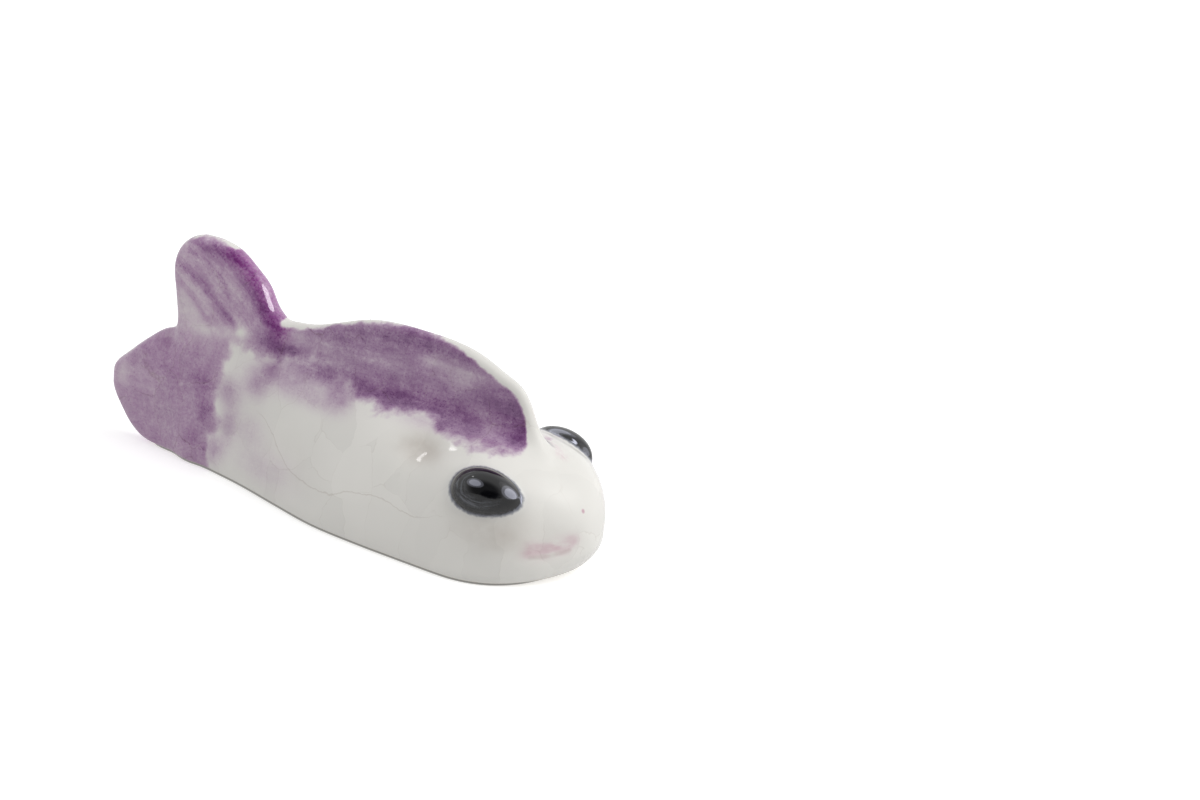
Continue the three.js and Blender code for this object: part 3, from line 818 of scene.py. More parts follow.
# %% Single strokes of a full brush on the upper lobe
# Each stroke: its path along and up, its half width and its amount
BRUSH_STROKES = [
    ([(-33.5, 29.4), (-28.5, 27.4), (-25.0, 24.6), (-22.0, 22.5)], 0.8, 0.42),
    ([(-27.0, 33.1), (-23.8, 31.8), (-20.7, 29.0), (-17.5, 25.8), (-15.4, 23.8)], 1.3, 0.28),
    ([(-31.6, 31.9), (-28.3, 30.9), (-25.3, 28.8), (-23.5, 26.7)], 0.45, 0.25),
    ([(-32.0, 26.7), (-29.1, 24.5), (-26.9, 22.3), (-25.4, 20.4)], 0.6, 0.12),
    ([(-24.3, 32.8), (-21.4, 31.0), (-18.7, 28.3), (-16.9, 25.8), (-14.7, 23.9)], 0.7, 0.26),
]


def brush_strokes(side_view):
    """The sum of the strokes, each soft across its path."""
    return sum(
        amount * np.exp(-(path_distance(side_view, path) / half) ** 2)
        for path, half, amount in BRUSH_STROKES
    )


print("single strokes:", len(BRUSH_STROKES))

# %% The wiped rims, the magenta rim and the pink of the mouth
rim_x = np.linspace(-13.9, 29.4, 40)
CREST_RIM = np.concatenate([np.stack([rim_x, crest(rim_x)], 1), [[30.7, 16.6]]])
crest_wipe = curve_through(
    [-15, -8, -2, 4, 9, 14, 19, 24, 28, 31], [0.75, 0.7, 0.5, 0.3, 0.15, 0.4, 0.8, 1.3, 1.3, 1.5])
# The lobes are wiped along one rim, and a few stations on round the tip
rim_z = np.linspace(20.5, LOBE_TOP, 24)
upper_round = outline_between((upper_back(rim_z), rim_z), (upper_front(rim_z), rim_z))
UPPER_RIM = upper_round[:len(rim_z) + 2]
rim_x = np.linspace(-33, LOWER_AT[0], 20)
lower_round = outline_between((rim_x, lower_high(rim_x)), (rim_x, lower_low(rim_x)))
LOWER_RIM = lower_round[:len(rim_x) + 7]
LOBE_WIPE = 0.25
MAGENTA_RIM = [(-24.1, 33.4), (-21.5, 31.9), (-18.3, 29.2), (-15.7, 25.8), (-13.9, 24.1)]
MAGENTA_WIDTH = 1.5
MAGENTA_BACK = -22, -14
MOUTH = [(35.3, -9.4, 6.0), (37.2, -7.1, 6.1), (38.8, -4.2, 6.6)]
MOUTH_WIDTH, LIP_DROP = 1.25, 1.0
FIN_BLUSH = [(27.7, 5.4, 17.4), (30.2, 3.5, 17.1), (32.0, 2.4, 16.4)]
BLUSH_WIDTH = 1.1
print("stations on the wiped rims:", len(CREST_RIM), len(UPPER_RIM), len(LOWER_RIM))

# %% Cracks in the glaze and the edges of the black and of the bare clay
right_hairline = curve_through(
    [-16, -12.6, -9.6, -6.2, -2.3, 2.9, 6.4, 9.4, 15.9, 19.4, 23.1],
    [12.8, 10.9, 8.8, 6.6, 5.8, 6.0, 7.4, 8.2, 7.8, 7.7, 9.6])
left_hairline = curve_through([-13, -6, 1, 8, 15, 22], [9.5, 11, 9.2, 10.4, 8.6, 6])
HAIRLINE_ENDS = -15, 22
EYE_MEAN_RADIUS = 4.4
GLAZE_LINE, LEFT_GLAZE_LINE, CHIN_GLAZE_LINE = 0.3, 1.25, 0.9
print("height of the right hairline at the middle in mm:", round(float(right_hairline(0)), 1))


# %% All marks for a set of places
def put_mark(mesh, label, values):
    """Keeps one number or one triple for every point of a mesh, under a name."""
    single = values.ndim == 1
    layer = mesh.attributes.new(label, "FLOAT" if single else "FLOAT_VECTOR", "POINT")
    layer.data.foreach_set("value" if single else "vector", values.astype(np.float32).ravel())


def nearer_eye(x, y, z):
    """Places on the right eye for the right half of the fish, on the left eye for the left."""
    right_eye = eye_place(EYES["right_eye"], x, y, z)
    left_eye = eye_place(EYES["left_eye"], x, y, z)
    return (np.where(y < 0, one, other) for one, other in zip(right_eye, left_eye))


def paint_marks(x, y, z):
    """Where the brush has been: the edge of the wash, its amount, its streaks and its strokes."""
    left = ease(-1.2, 1.2, y - middle_plane(x, z))
    moved_x, moved_z = x + LEFT_SHIFT * left, z - LEFT_RISE * left
    above_line = z - fin_paint_low(x) - 0.8 * left * np.sin(0.31 * x + 1)
    in_fin = np.minimum(above_line, FIN_PAINT_FRONT - 1.5 * left - x) * mix(0.55, 1, ease(0, 16, x))
    in_tail = 0.6 * (mix(tail_paint_right(z), tail_paint_left(z), left) - x)
    on_lobe = 0.42 * ease(19, 24, z) * (1 - ease(-22, -13, x))
    on_fin_end = 0.2 * ease(18, 21, z) * ease(-14, -8, x)
    turn = -STROKES_TURN * (1 - ease(-21, -12, x)) * ease(19, 23, z)
    from_x, from_z = x - STROKES_TURN_AT[0], z - STROKES_TURN_AT[1]
    return {
        "inside_paint": np.maximum(in_fin, in_tail),
        "wash_amount": mix(0.52, 0.73, ease(-20, -12, x)) + spots(moved_x, moved_z, WASH_SPOTS)
        + brush_strokes(np.stack([moved_x, moved_z], 1)),
        "pale_amount": 1.5 * spots(moved_x, moved_z, PALE_SPOTS),
        "streakiness": 0.16 + on_lobe + on_fin_end,
        "strokes": np.stack([
            from_x * np.cos(turn) + from_z * np.sin(turn), y,
            from_z * np.cos(turn) - from_x * np.sin(turn)], 1),
    }


def skin_marks(places):
    """All marks for a set of places, each one number or one triple for every place."""
    x, y, z = places.T
    side_view = places[:, [0, 2]]
    magenta = path_distance(side_view, MAGENTA_RIM) / MAGENTA_WIDTH
    along, over, out = nearer_eye(x, y, z)
    ring = np.where(out > -4, np.hypot(along, over), 9)
    line_y, line_share = fold_line(x)
    glaze_line = mix(GLAZE_LINE, LEFT_GLAZE_LINE, ease(2, 8, y)) + CHIN_GLAZE_LINE * ease(31, 39, x)
    hairline_start = ease(HAIRLINE_ENDS[0] - 1, HAIRLINE_ENDS[0] + 3, x)
    hairline_end = 1 - ease(HAIRLINE_ENDS[1] - 5, HAIRLINE_ENDS[1] + 1, x)
    return {
        **paint_marks(x, y, z),
        "painted_shade_amount": spots(x, z, PAINTED_SHADE_SPOTS),
        "past_wiped_rim": np.minimum.reduce([
            path_distance(side_view, CREST_RIM) - crest_wipe(x),
            path_distance(side_view, UPPER_RIM) - LOBE_WIPE,
            path_distance(side_view, LOWER_RIM) - LOBE_WIPE,
        ]),
        "magenta_amount": np.exp(-magenta ** 2) + 0.25 * (1 - ease(*MAGENTA_BACK, x)),
        "mouth_amount": np.exp(-(path_distance(places, MOUTH) / MOUTH_WIDTH) ** 2),
        "mouth_line": path_distance(places, np.array(MOUTH) - (0, 0, LIP_DROP)),
        "blush_amount": np.exp(-(path_distance(places, FIN_BLUSH) / BLUSH_WIDTH) ** 2),
        "above_hairline": z - np.where(y < 0, right_hairline(x), left_hairline(x)),
        "hairline_share": hairline_start * hairline_end,
        "inside_eye": (1 - ring) * EYE_MEAN_RADIUS,
        "round_eye": np.stack([along / ring, over / ring, ring], 1),
        "below_glaze": glaze_line - z,
        "past_fold": y - line_y - 5 * (1 - line_share),
    }


for name, piece in pieces.items():
    mesh = piece.data
    places = np.zeros(len(mesh.vertices) * 3)
    mesh.vertices.foreach_get("co", places)
    marks = skin_marks(places.reshape(-1, 3) / MM)
    for label, values in marks.items():
        put_mark(mesh, label, values)
print("marks on each piece:", sorted(marks))

# %% [markdown]
# Shader trees are easier to read when one line adds a node with its links. The small class below
# does that. The effects that come back in several places are node groups, built once.

# %% A short way to write shader nodes
class Tree:
    """A shader tree in which a node and its links take one line."""

    def __init__(self, tree):
        self.tree = tree

    def feed(self, socket, value):
        """Links a socket to another one, or sets its value."""
        if isinstance(value, bpy.types.NodeSocket):
            self.tree.links.new(value, socket)
        else:
            socket.default_value = value

    def add(self, kind, inputs=None, **settings):
        """Adds a node, sets its options and feeds its inputs."""
        node = self.tree.nodes.new("ShaderNode" + kind)
        for key, value in settings.items():
            setattr(node, key, value)
        for key, value in (inputs or {}).items():
            self.feed(node.inputs[key], value)
        return node

    def math(self, operation, *values):
        return self.add("Math", dict(enumerate(values)), operation=operation).outputs[0]

    def times(self, value, factor):
        return self.math("MULTIPLY", value, factor)

    def plus(self, value, other):
        return self.math("ADD", value, other)

    def times_add(self, value, factor, offset):
        return self.math("MULTIPLY_ADD", value, factor, offset)

    def rest(self, share):
        """What a share leaves of 1."""
        return self.math("SUBTRACT", 1.0, share)

    def vector(self, operation, *values):
        node = self.add("VectorMath", dict(enumerate(values)), operation=operation)
        return node.outputs["Value" if operation in ("DISTANCE", "DOT_PRODUCT") else "Vector"]

    def stretch(self, place, factors):
        return self.vector("MULTIPLY", place, factors)

    def noise(self, place, size, detail=3, roughness=0.55, distortion=0.0):
        """Cloudy noise whose clouds are about `size` millimetres wide."""
        return self.add("TexNoise", {
            "Vector": place, "Scale": 1 / size, "Detail": detail,
            "Roughness": roughness, "Distortion": distortion}).outputs[0]

    def bend(self, place, scale, detail, reach):
        """Shifts places by cloudy noise, so that straight lines through them bend."""
        values = {"Vector": place, "Scale": scale, "Detail": detail}
        shift = self.stretch(self.add("TexNoise", values).outputs["Color"], (reach, reach, reach))
        return self.vector("ADD", shift, place)

    def rise(self, value, low, high):
        """Climbs smoothly from 0 at `low` to 1 at `high`."""
        values = {"Value": value, "From Min": low, "From Max": high}
        return self.add("MapRange", values, interpolation_type="SMOOTHSTEP").outputs[0]

    def fall(self, value, low, high):
        """Falls smoothly from 1 at `low` to 0 at `high`."""
        return self.rest(self.rise(value, low, high))

    def blend(self, share, one, other, way="MIX"):
        values = {0: share, 6: one, 7: other}
        return self.add("Mix", values, data_type="RGBA", blend_type=way).outputs[2]

    def shade(self, colour, value):
        """Makes a colour lighter or darker by a factor."""
        grey = self.add("CombineColor", {0: value, 1: value, 2: value}).outputs[0]
        return self.blend(1.0, colour, grey, "MULTIPLY")

    def group(self, group, inputs):
        return self.add("Group", inputs, node_tree=group).outputs


def new_group(name, inputs, outputs):
    """A node group, its tree, the outputs of its entry and the inputs of its exit."""
    group = bpy.data.node_groups.new(name, "ShaderNodeTree")
    for label, value in inputs.items():
        kind = "Float" if isinstance(value, (int, float)) else "Vector" if len(value) == 3 else "Color"
        socket = group.interface.new_socket(label, in_out="INPUT", socket_type="NodeSocket" + kind)
        socket.default_value = value
    for label, kind in outputs.items():
        group.interface.new_socket(label, in_out="OUTPUT", socket_type="NodeSocket" + kind)
    entry = group.nodes.new("NodeGroupInput").outputs
    leave = group.nodes.new("NodeGroupOutput").inputs
    return group, Tree(group), entry, leave


def new_finish(name):
    """A material, its tree and its shader, which gets no sheen of its own."""
    material = bpy.data.materials.new(name)
    material.use_nodes = True
    shader = material.node_tree.nodes["Principled BSDF"]
    shader.inputs["Specular IOR Level"].default_value = 0.0
    return material, Tree(material.node_tree), shader


# %% [markdown]
# No edge on the fish is sharp or straight: the wash, the black of the eyes and the glaze line
# all have an edge that wanders. The first group takes a distance in millimetres, positive
# inside, shifts it with noise and turns it into a mask.

# %% Node group: an edge that wanders
wandering_edge, tree, entry, leave = new_group(
    "wandering edge",
    {"Place": (0, 0, 0), "Inside": 0.0, "Width": 0.5, "Wander": 0.3, "Size": 1.5},
    {"Mask": "Float"})
size = tree.add("CombineXYZ", dict.fromkeys(range(3), entry["Size"])).outputs[0]
scaled = tree.vector("DIVIDE", entry["Place"], size)
wobble = tree.math("SUBTRACT", tree.noise(scaled, 1.0, detail=4, roughness=0.5), 0.5)
shifted = tree.times_add(wobble, tree.times(entry["Wander"], 4), entry["Inside"])
half = tree.times(entry["Width"], 0.5)
tree.feed(leave["Mask"], tree.rise(shifted, tree.times(half, -1), half))
print("nodes in the wandering edge:", len(wandering_edge.nodes))

# %% [markdown]
# A brush leaves long streaks, and the dry clay drinks the water unevenly, which leaves clouds
# and a fine grain. The second group makes the amount of colour from noise that is stretched
# along the strokes. The third turns that amount into a colour as real paint does: every further
# coat lets through the same share of the light, so thick paint is darker and also more purple.

# %% Node groups: brushed wash and its colour
brushed_wash, tree, entry, leave = new_group(
    "brushed wash",
    {"Place": (0, 0, 0), "Strokes": (0, 0, 0),
     "Amount": 1.0, "Streaks": 0.5, "Clouds": 0.6, "Grain": 0.3},
    {"Density": "Float"})
along_wide = tree.stretch(entry["Strokes"], (0.12, 0.5, 1))
wide = tree.noise(along_wide, 1.6, detail=3, distortion=0.4)
along_thin = tree.stretch(entry["Strokes"], (0.15, 0.8, 1))
thin = tree.noise(along_thin, 0.55, detail=4, roughness=0.6)
clouds = tree.noise(entry["Place"], 2.6, detail=6, roughness=0.66, distortion=0.5)
grain = tree.noise(entry["Place"], 0.42, detail=4, roughness=0.7)
specks = tree.rise(tree.noise(entry["Place"], 0.28, detail=2), 0.56, 0.72)
streaks = tree.plus(tree.times_add(wide, 2.6, -1.3), tree.times_add(thin, 1.4, -0.7))
change = tree.times_add(streaks, entry["Streaks"], 1.0)
change = tree.times_add(tree.times_add(clouds, 3.2, -1.6), entry["Clouds"], change)
grain = tree.times_add(specks, 1.1, tree.times_add(grain, 3.0, -1.6))
change = tree.times_add(grain, entry["Grain"], change)
change = tree.math("MAXIMUM", change, 0.02)
tree.feed(leave["Density"], tree.times(change, entry["Amount"]))

wash_colour, tree, entry, leave = new_group(
    "wash colour",
    {"Under": (1, 1, 1, 1), "Density": 1.0, "One Coat": (0.34, 0.2, 0.39, 1)},
    {"Color": "Color"})
coat = tree.add("SeparateColor", {0: entry["One Coat"]}).outputs
left_light = [tree.math("POWER", channel, entry["Density"]) for channel in list(coat)[:3]]
light = tree.add("CombineColor", dict(enumerate(left_light))).outputs[0]
tree.feed(leave["Color"], tree.blend(1.0, entry["Under"], light, "MULTIPLY"))
print("nodes in the wash and in its colour:", len(brushed_wash.nodes), len(wash_colour.nodes))

# %% [markdown]
# Glaze shrinks more than clay when it cools, so it breaks into cells of six to nine millimetres.
# The cracks are hair thin and partly healed, and neighbouring cells differ a little in tone.
# Voronoi cells have that pattern, once a little noise has bent their straight sides.

# %% Node group: crazing
crazing, tree, entry, leave = new_group(
    "crazing",
    {"Place": (0, 0, 0), "Cell": 7.0, "Line": 0.07},
    {"Lines": "Float", "Tone": "Float"})
bent = tree.stretch(tree.bend(entry["Place"], 0.22, 3.0, 3.2), (1.25, 1, 0.72))
turned = tree.add("VectorRotate", {"Vector": bent, "Angle": 0.35}, rotation_type="Y_AXIS").outputs[0]
cells = {"Vector": turned, "Scale": tree.math("DIVIDE", 1.0, entry["Cell"])}
edge = tree.add("TexVoronoi", cells, feature="DISTANCE_TO_EDGE").outputs["Distance"]
tone = tree.add("TexVoronoi", cells, feature="F1").outputs["Color"]
from_edge = tree.times(edge, entry["Cell"])
line = tree.fall(from_edge, 0.0, entry["Line"])
healed = tree.rise(tree.noise(entry["Place"], 6.0), 0.42, 0.62)
tree.feed(leave["Lines"], tree.times(line, healed))
tone_red = tree.add("SeparateColor", {0: tone}).outputs[0]
tree.feed(leave["Tone"], tree.math("SUBTRACT", tone_red, 0.5))
print("nodes in the crazing:", len(crazing.nodes))

# %% [markdown]
# The foot is bare fired clay: beige grey, matt and slightly gritty, with dark iron specks, pale
# grains of crushed brick and small pits. Each kind of grain is a field of Voronoi dots, of which
# a random share is kept.

# %% Node group: bare clay
BARE_CLAY = (0.65, 0.61, 0.54, 1)
PALE_GRAIN_AND_FOLD_LIGHT = (0.82, 0.79, 0.72, 1)
IRON_SPECK = (0.11, 0.075, 0.045, 1)
# Each kind of grain: how far apart its dots are, their largest radius, and the share that is there
PALE_GRAINS, IRON_SPECKS = (0.6, 0.15, 0.3), (1.5, 0.19, 0.5)
DARK_DUST, SMALL_PITS = (0.5, 0.08, 0.25), (2.1, 0.2, 0.12)


def dots(tree, place, spacing, radius, share):
    """Dots of a random size, of which about `share` are there."""
    cells = tree.add("TexVoronoi", {"Vector": place, "Scale": 1 / spacing}, feature="F1").outputs
    chance = tree.add("SeparateColor", {0: cells["Color"]}).outputs
    size = tree.times(tree.times_add(chance[1], 0.7, 0.3), radius / spacing)
    dot = tree.fall(tree.math("DIVIDE", cells["Distance"], size), 0.7, 1.0)
    return tree.times(dot, tree.math("LESS_THAN", chance[0], share))


bare_clay, tree, entry, leave = new_group(
    "bare clay",
    {"Place": (0, 0, 0), "Past Fold": -9.0},
    {"Color": "Color", "Height": "Float"})
rough_place = tree.bend(entry["Place"], 3.0, 2.0, 0.2)
cloud = tree.noise(entry["Place"], 7.0, detail=4)
grit = tree.noise(entry["Place"], 0.25, detail=4, roughness=0.7)
colour = tree.shade(BARE_CLAY, tree.times_add(cloud, 0.3, 0.85))
colour = tree.shade(colour, tree.times_add(grit, 0.6, 0.7))
grains, iron, dust, pits = (
    dots(tree, rough_place, *kind)
    for kind in (PALE_GRAINS, IRON_SPECKS, DARK_DUST, SMALL_PITS))
# Painted light makes the slanting fold strip paler, and painted shade darkens the crease beside it
folded = tree.rise(entry["Past Fold"], 0.0, 0.5)
colour = tree.blend(tree.times(folded, 0.45), colour, PALE_GRAIN_AND_FOLD_LIGHT)
crease = tree.fall(tree.math("ABSOLUTE", entry["Past Fold"]), 0.05, 0.4)
crease = tree.times(crease, tree.rise(tree.noise(entry["Place"], 2.5), 0.38, 0.6))
colour = tree.shade(colour, tree.times_add(crease, -0.3, 1.0))
colour = tree.blend(grains, colour, PALE_GRAIN_AND_FOLD_LIGHT)
colour = tree.blend(tree.times(dust, 0.6), colour, IRON_SPECK)
colour = tree.blend(iron, colour, IRON_SPECK)
tree.feed(leave["Color"], tree.shade(colour, tree.times_add(pits, -0.35, 1.0)))
height = tree.times(grit, 0.05)
height = tree.times_add(tree.noise(entry["Place"], 1.6, detail=3), 0.12, height)
height = tree.times_add(grains, 0.02, height)
tree.feed(leave["Height"], tree.times_add(pits, -0.12, height))
print("nodes in the bare clay:", len(bare_clay.nodes))

# %% [markdown]
# One recipe makes the material of every piece, so that the wash and the glaze run on over the
# joints as they do on the real fish. What differs from place to place comes from the marks.
# From below upwards it holds white clay with patches of painted shade, the wash, the magenta and pink
# touches, the cracks of the glaze and the black of the eyes with a painted reflection at its rim, and at
# the foot bare clay takes over, with painted light and shade at its fold. The glaze itself is the
# shader's
# coat: clear and glossy over the duller colour.

# %% One recipe for all the fired pieces
WHITE_CLAY = (0.79, 0.775, 0.735, 1)
PURPLE_COAT = (0.352, 0.188, 0.392, 1)
MAGENTA_COAT = (0.74, 0.24, 0.7, 1)
PINK_COAT = (0.78, 0.55, 0.65, 1)
LINE_AND_SHADE_COAT = (0.55, 0.5, 0.47, 1)
EYE_BLACK = (0.0035, 0.0035, 0.0045, 1)
EYE_GREY_AND_SHEEN = (0.09, 0.095, 0.11, 1)
EYE_BLEED_COAT = (0.2, 0.215, 0.27, 1)
EYE_SHEEN_SIDE = (-0.75, -0.5, 0)
PINK_DOT = (38.6, -1.4, 10.8)
CRAZE_CELL, CRAZE_LINE, CRAZE_TONE = 7.0, 0.09, 0.062
WASH_CLOUDS, WASH_GRAIN, FAINT_STREAKS = 0.42, 0.34, 0.25
CLEAN_STAIN, PAINT_STAIN = 0.13, 0.45
HAIRLINE_DARKNESS, LIP_DARKNESS = 0.24, 0.26
GLAZE_ROUGHNESS, GLAZE_INDEX, GLAZE_WAVES = 0.06, 1.5, 0.012


def fired_clay(name):
    """The finish of a fired piece. Its places and sizes are in millimetres."""
    material, tree, shader = new_finish(name)
    place = tree.stretch(tree.add("TexCoord").outputs["Object"], (1 / MM, 1 / MM, 1 / MM))

    def mark(attribute, output="Fac"):
        return tree.add("Attribute", attribute_name=attribute).outputs[output]

    def edge(inside, width, wander, size):
        values = {"Place": place, "Inside": inside, "Width": width, "Wander": wander, "Size": size}
        return tree.group(wandering_edge, values)["Mask"]

    def coats(under, density, one_coat):
        values = {"Under": under, "Density": density, "One Coat": one_coat}
        return tree.group(wash_colour, values)["Color"]

    # White clay with a faint change of tone from place to place, and grey patches of painted shade
    tone = tree.noise(place, 16.0, detail=3)
    colour = tree.shade(WHITE_CLAY, tree.times_add(tone, 0.16, 0.92))
    patches = tree.times(tree.noise(place, 3.5, detail=4), 2)
    colour = coats(colour, tree.times(mark("painted_shade_amount"), patches), LINE_AND_SHADE_COAT)

    # The purple wash, pale where the brush was nearly dry
    painted = edge(mark("inside_paint"), 1.5, 0.65, 2.4)
    unwiped = edge(mark("past_wiped_rim"), 0.55, 0.3, 1.8)
    amount = tree.times(mark("wash_amount"), tree.times(painted, unwiped))
    strokes = {"Place": place, "Strokes": mark("strokes", "Vector")}
    wash = {**strokes, "Clouds": WASH_CLOUDS, "Grain": WASH_GRAIN}
    strong = {**wash, "Amount": amount, "Streaks": mark("streakiness")}
    strong = tree.group(brushed_wash, strong)["Density"]
    faint = {**wash, "Amount": mark("pale_amount"), "Streaks": FAINT_STREAKS}
    faint = tree.group(brushed_wash, faint)["Density"]
    colour = coats(colour, tree.plus(strong, faint), PURPLE_COAT)

    # Magenta runs along the rim of the upper lobe in small grains, where the wash is strong
    granules = tree.rise(tree.noise(place, 0.4, detail=3), 0.4, 0.65)
    magenta = tree.times(mark("magenta_amount"), tree.times_add(granules, 0.4, 0.28))
    colour = coats(colour, tree.times(magenta, strong), MAGENTA_COAT)

    # The pink of the mouth, the touch beside the fin and one stray dot
    smear = tree.noise(tree.stretch(place, (0.45, 0.45, 1.0)), 1.3, detail=3)
    mouth = tree.times(mark("mouth_amount"), tree.rise(smear, 0.2, 0.75))
    dabs = tree.rise(tree.noise(place, 0.9, detail=4), 0.35, 0.7)
    blush = tree.times(mark("blush_amount"), dabs)
    dot = tree.fall(tree.vector("DISTANCE", place, PINK_DOT), 0.15, 0.45)
    pink = tree.plus(tree.times_add(blush, 0.5, tree.times(mouth, 0.8)), dot)
    colour = coats(colour, pink, PINK_COAT)
    lip = tree.fall(mark("mouth_line"), 0.1, 0.6)
    colour = coats(colour, tree.times(lip, LIP_DARKNESS), LINE_AND_SHADE_COAT)

    # The crazed glaze and one long hairline crack
    craze = tree.group(crazing, {"Place": place, "Cell": CRAZE_CELL, "Line": CRAZE_LINE})
    colour = tree.shade(colour, tree.times_add(craze["Tone"], CRAZE_TONE, 1.0))
    stain = tree.times_add(strong, PAINT_STAIN, CLEAN_STAIN)
    colour = coats(colour, tree.times(craze["Lines"], stain), LINE_AND_SHADE_COAT)
    wiggle = tree.times_add(tree.noise(place, 3.0, detail=4), 1.6, -0.8)
    from_hairline = tree.math("ABSOLUTE", tree.plus(mark("above_hairline"), wiggle))
    hairline = tree.fall(from_hairline, 0.02, 0.13)
    hairline = tree.times(hairline, mark("hairline_share"))
    colour = coats(colour, tree.times(hairline, HAIRLINE_DARKNESS), LINE_AND_SHADE_COAT)

    # The black of the eyes: a streaked grey rim, partly thin black glaze and partly a painted reflection
    # that is strongest on the lower back side, with a soft blue bleed around it
    inside_eye = mark("inside_eye")
    halo = tree.rise(inside_eye, -1.6, 0.2)
    bleed = edge(tree.plus(inside_eye, 0.2), 0.6, 0.12, 0.6)
    bleed = tree.times_add(halo, 0.06, tree.times(bleed, 1.1))
    colour = coats(colour, bleed, EYE_BLEED_COAT)
    round_eye = mark("round_eye", "Vector")
    round_rim = tree.stretch(round_eye, (1.3, 1.3, 12))
    streaks = tree.noise(round_rim, 1.0, detail=4, roughness=0.6)
    rim = tree.math("SUBTRACT", tree.rise(inside_eye, 0.5, 1.0), tree.rise(inside_eye, 1.1, 2.6))
    # The lower back part of the rim is painted lighter, as a painted reflection of the pale table and
    # flank
    behind = tree.rise(tree.vector("DOT_PRODUCT", round_eye, EYE_SHEEN_SIDE), -0.45, 0.6)
    rim = tree.times(rim, tree.times_add(behind, 0.85, 0.15))
    eye = tree.blend(tree.times(rim, tree.rise(streaks, 0.42, 0.62)), EYE_BLACK, EYE_GREY_AND_SHEEN)
    colour = tree.blend(edge(inside_eye, 0.3, 0.1, 0.5), colour, eye)

    # Bare clay below the glaze line, and soft waves in the glaze above it
    bare = edge(mark("below_glaze"), 0.4, 0.07, 2.2)
    clay_look = tree.group(bare_clay, {"Place": place, "Past Fold": mark("past_fold")})
    colour = tree.blend(bare, colour, clay_look["Color"])
    tree.feed(shader.inputs["Base Color"], colour)
    tree.feed(shader.inputs["Roughness"], tree.times_add(bare, 0.4, 0.5))
    tree.feed(shader.inputs["Coat Weight"], tree.rest(bare))
    height = tree.times(clay_look["Height"], bare)
    height = tree.times_add(tree.noise(place, 1.4, detail=2), GLAZE_WAVES, height)
    bump = tree.add("Bump", {"Height": height, "Distance": MM})
    tree.feed(shader.inputs["Normal"], bump.outputs["Normal"])
    shader.inputs["Coat Roughness"].default_value = GLAZE_ROUGHNESS
    shader.inputs["Coat IOR"].default_value = GLAZE_INDEX
    return material


MATERIALS = {slot: fired_clay(slot + "_finish") for slot in sorted(set(SLOTS.values()))}
for name, piece in pieces.items():
    piece.data.materials.append(MATERIALS[SLOTS[name]])
print("materials:", sorted({material.name for material in MATERIALS.values()}))

# %% [markdown]
# The fish stands on a plain white table. To the camera the table glows a little, so that it is as
# white as in the studio, but its glow lights nothing and is only faintly mirrored in the glaze.
# From below it is clear, so that the foot can be looked at, and it lies a hair below the foot.

# %% The table
TABLE_WHITE = (0.86, 0.86, 0.86, 1)
TABLE_LIFT, MIRRORED_SHARE, TABLE_GAP = 0.42, 0.1, 0.05 * MM
TABLE_REACH = 2


def flat_sheet(name, places, faces, colour):
    """A flat thing of the stage with a finish of its own: the thing, its tree and its shader."""
    mesh = bpy.data.meshes.new(name)
    mesh.from_pydata(places, [], faces)
    sheet = bpy.data.objects.new(name, mesh)
    bpy.context.scene.collection.objects.link(sheet)
    material, tree, shader = new_finish(name)
    mesh.materials.append(material)
    shader.inputs["Base Color"].default_value = colour
    return sheet, tree, shader


def oblong(name, reach_x, reach_y, colour):
    """A four-sided sheet that reaches this far from its middle, in metres."""
    corners = [(x * reach_x, y * reach_y, 0) for x, y in ((-1, -1), (1, -1), (1, 1), (-1, 1))]
    return flat_sheet(name, corners, [(0, 1, 2, 3)], colour)


def seen_from_above(tree):
    """1 on the upper side of a sheet and 0 on its lower side."""
    return tree.rest(tree.add("NewGeometry").outputs["Backfacing"])


def looked_at(tree):
    """The kinds of rays, and 1 for those that come straight or through glass from the camera."""
    rays = tree.add("LightPath").outputs
    return rays, tree.math("MAXIMUM", rays["Is Camera Ray"], rays["Is Transmission Ray"])


table, tree, shader = oblong("table", TABLE_REACH, TABLE_REACH, TABLE_WHITE)
table.location.z = -TABLE_GAP
table.visible_diffuse = table.visible_shadow = False
shader.inputs["Roughness"].default_value = 1.0
shader.inputs["Emission Color"].default_value = (1, 1, 1, 1)
rays, seen = looked_at(tree)
seen = tree.times_add(rays["Is Glossy Ray"], MIRRORED_SHARE, seen)
tree.feed(shader.inputs["Emission Strength"], tree.times(seen, TABLE_LIFT))
tree.feed(shader.inputs["Alpha"], seen_from_above(tree))
print("table below the foot in mm:", round(TABLE_GAP / MM, 3))

# %% [markdown]
# Where a real foot meets a table there is a thin dark line, since no light gets in between them.
# The table's glow would wash that line out, so it is drawn as a painted shadow on a thin sheet round the
# foot. The sheet is clear but for that painted shadow, which gets fainter with the distance from the
# foot's edge.

# %% The painted contact shadow between the foot and the table
CONTACT_SHADOW_DARKNESS, CONTACT_SHADOW_FROM, CONTACT_SHADOW_TO = 0.75, 0.2, 0.75
CONTACT_SHADOW_GREY = (0.05, 0.05, 0.045, 1)
FOOT_LEVEL = 0.1


def foot_edge(x, side):
    """Where the clay leaves the table on one side, found by halving."""
    inner, outer = centre_line(x), centre_line(x) + side * half_width(x)
    for _ in range(12):
        middle = (inner + outer) / 2
        inside = clay_at(np.stack([x, middle, FOOT_LEVEL + 0 * x], 1)) < 0
        inner, outer = np.where(inside, middle, inner), np.where(inside, outer, middle)
    return inner


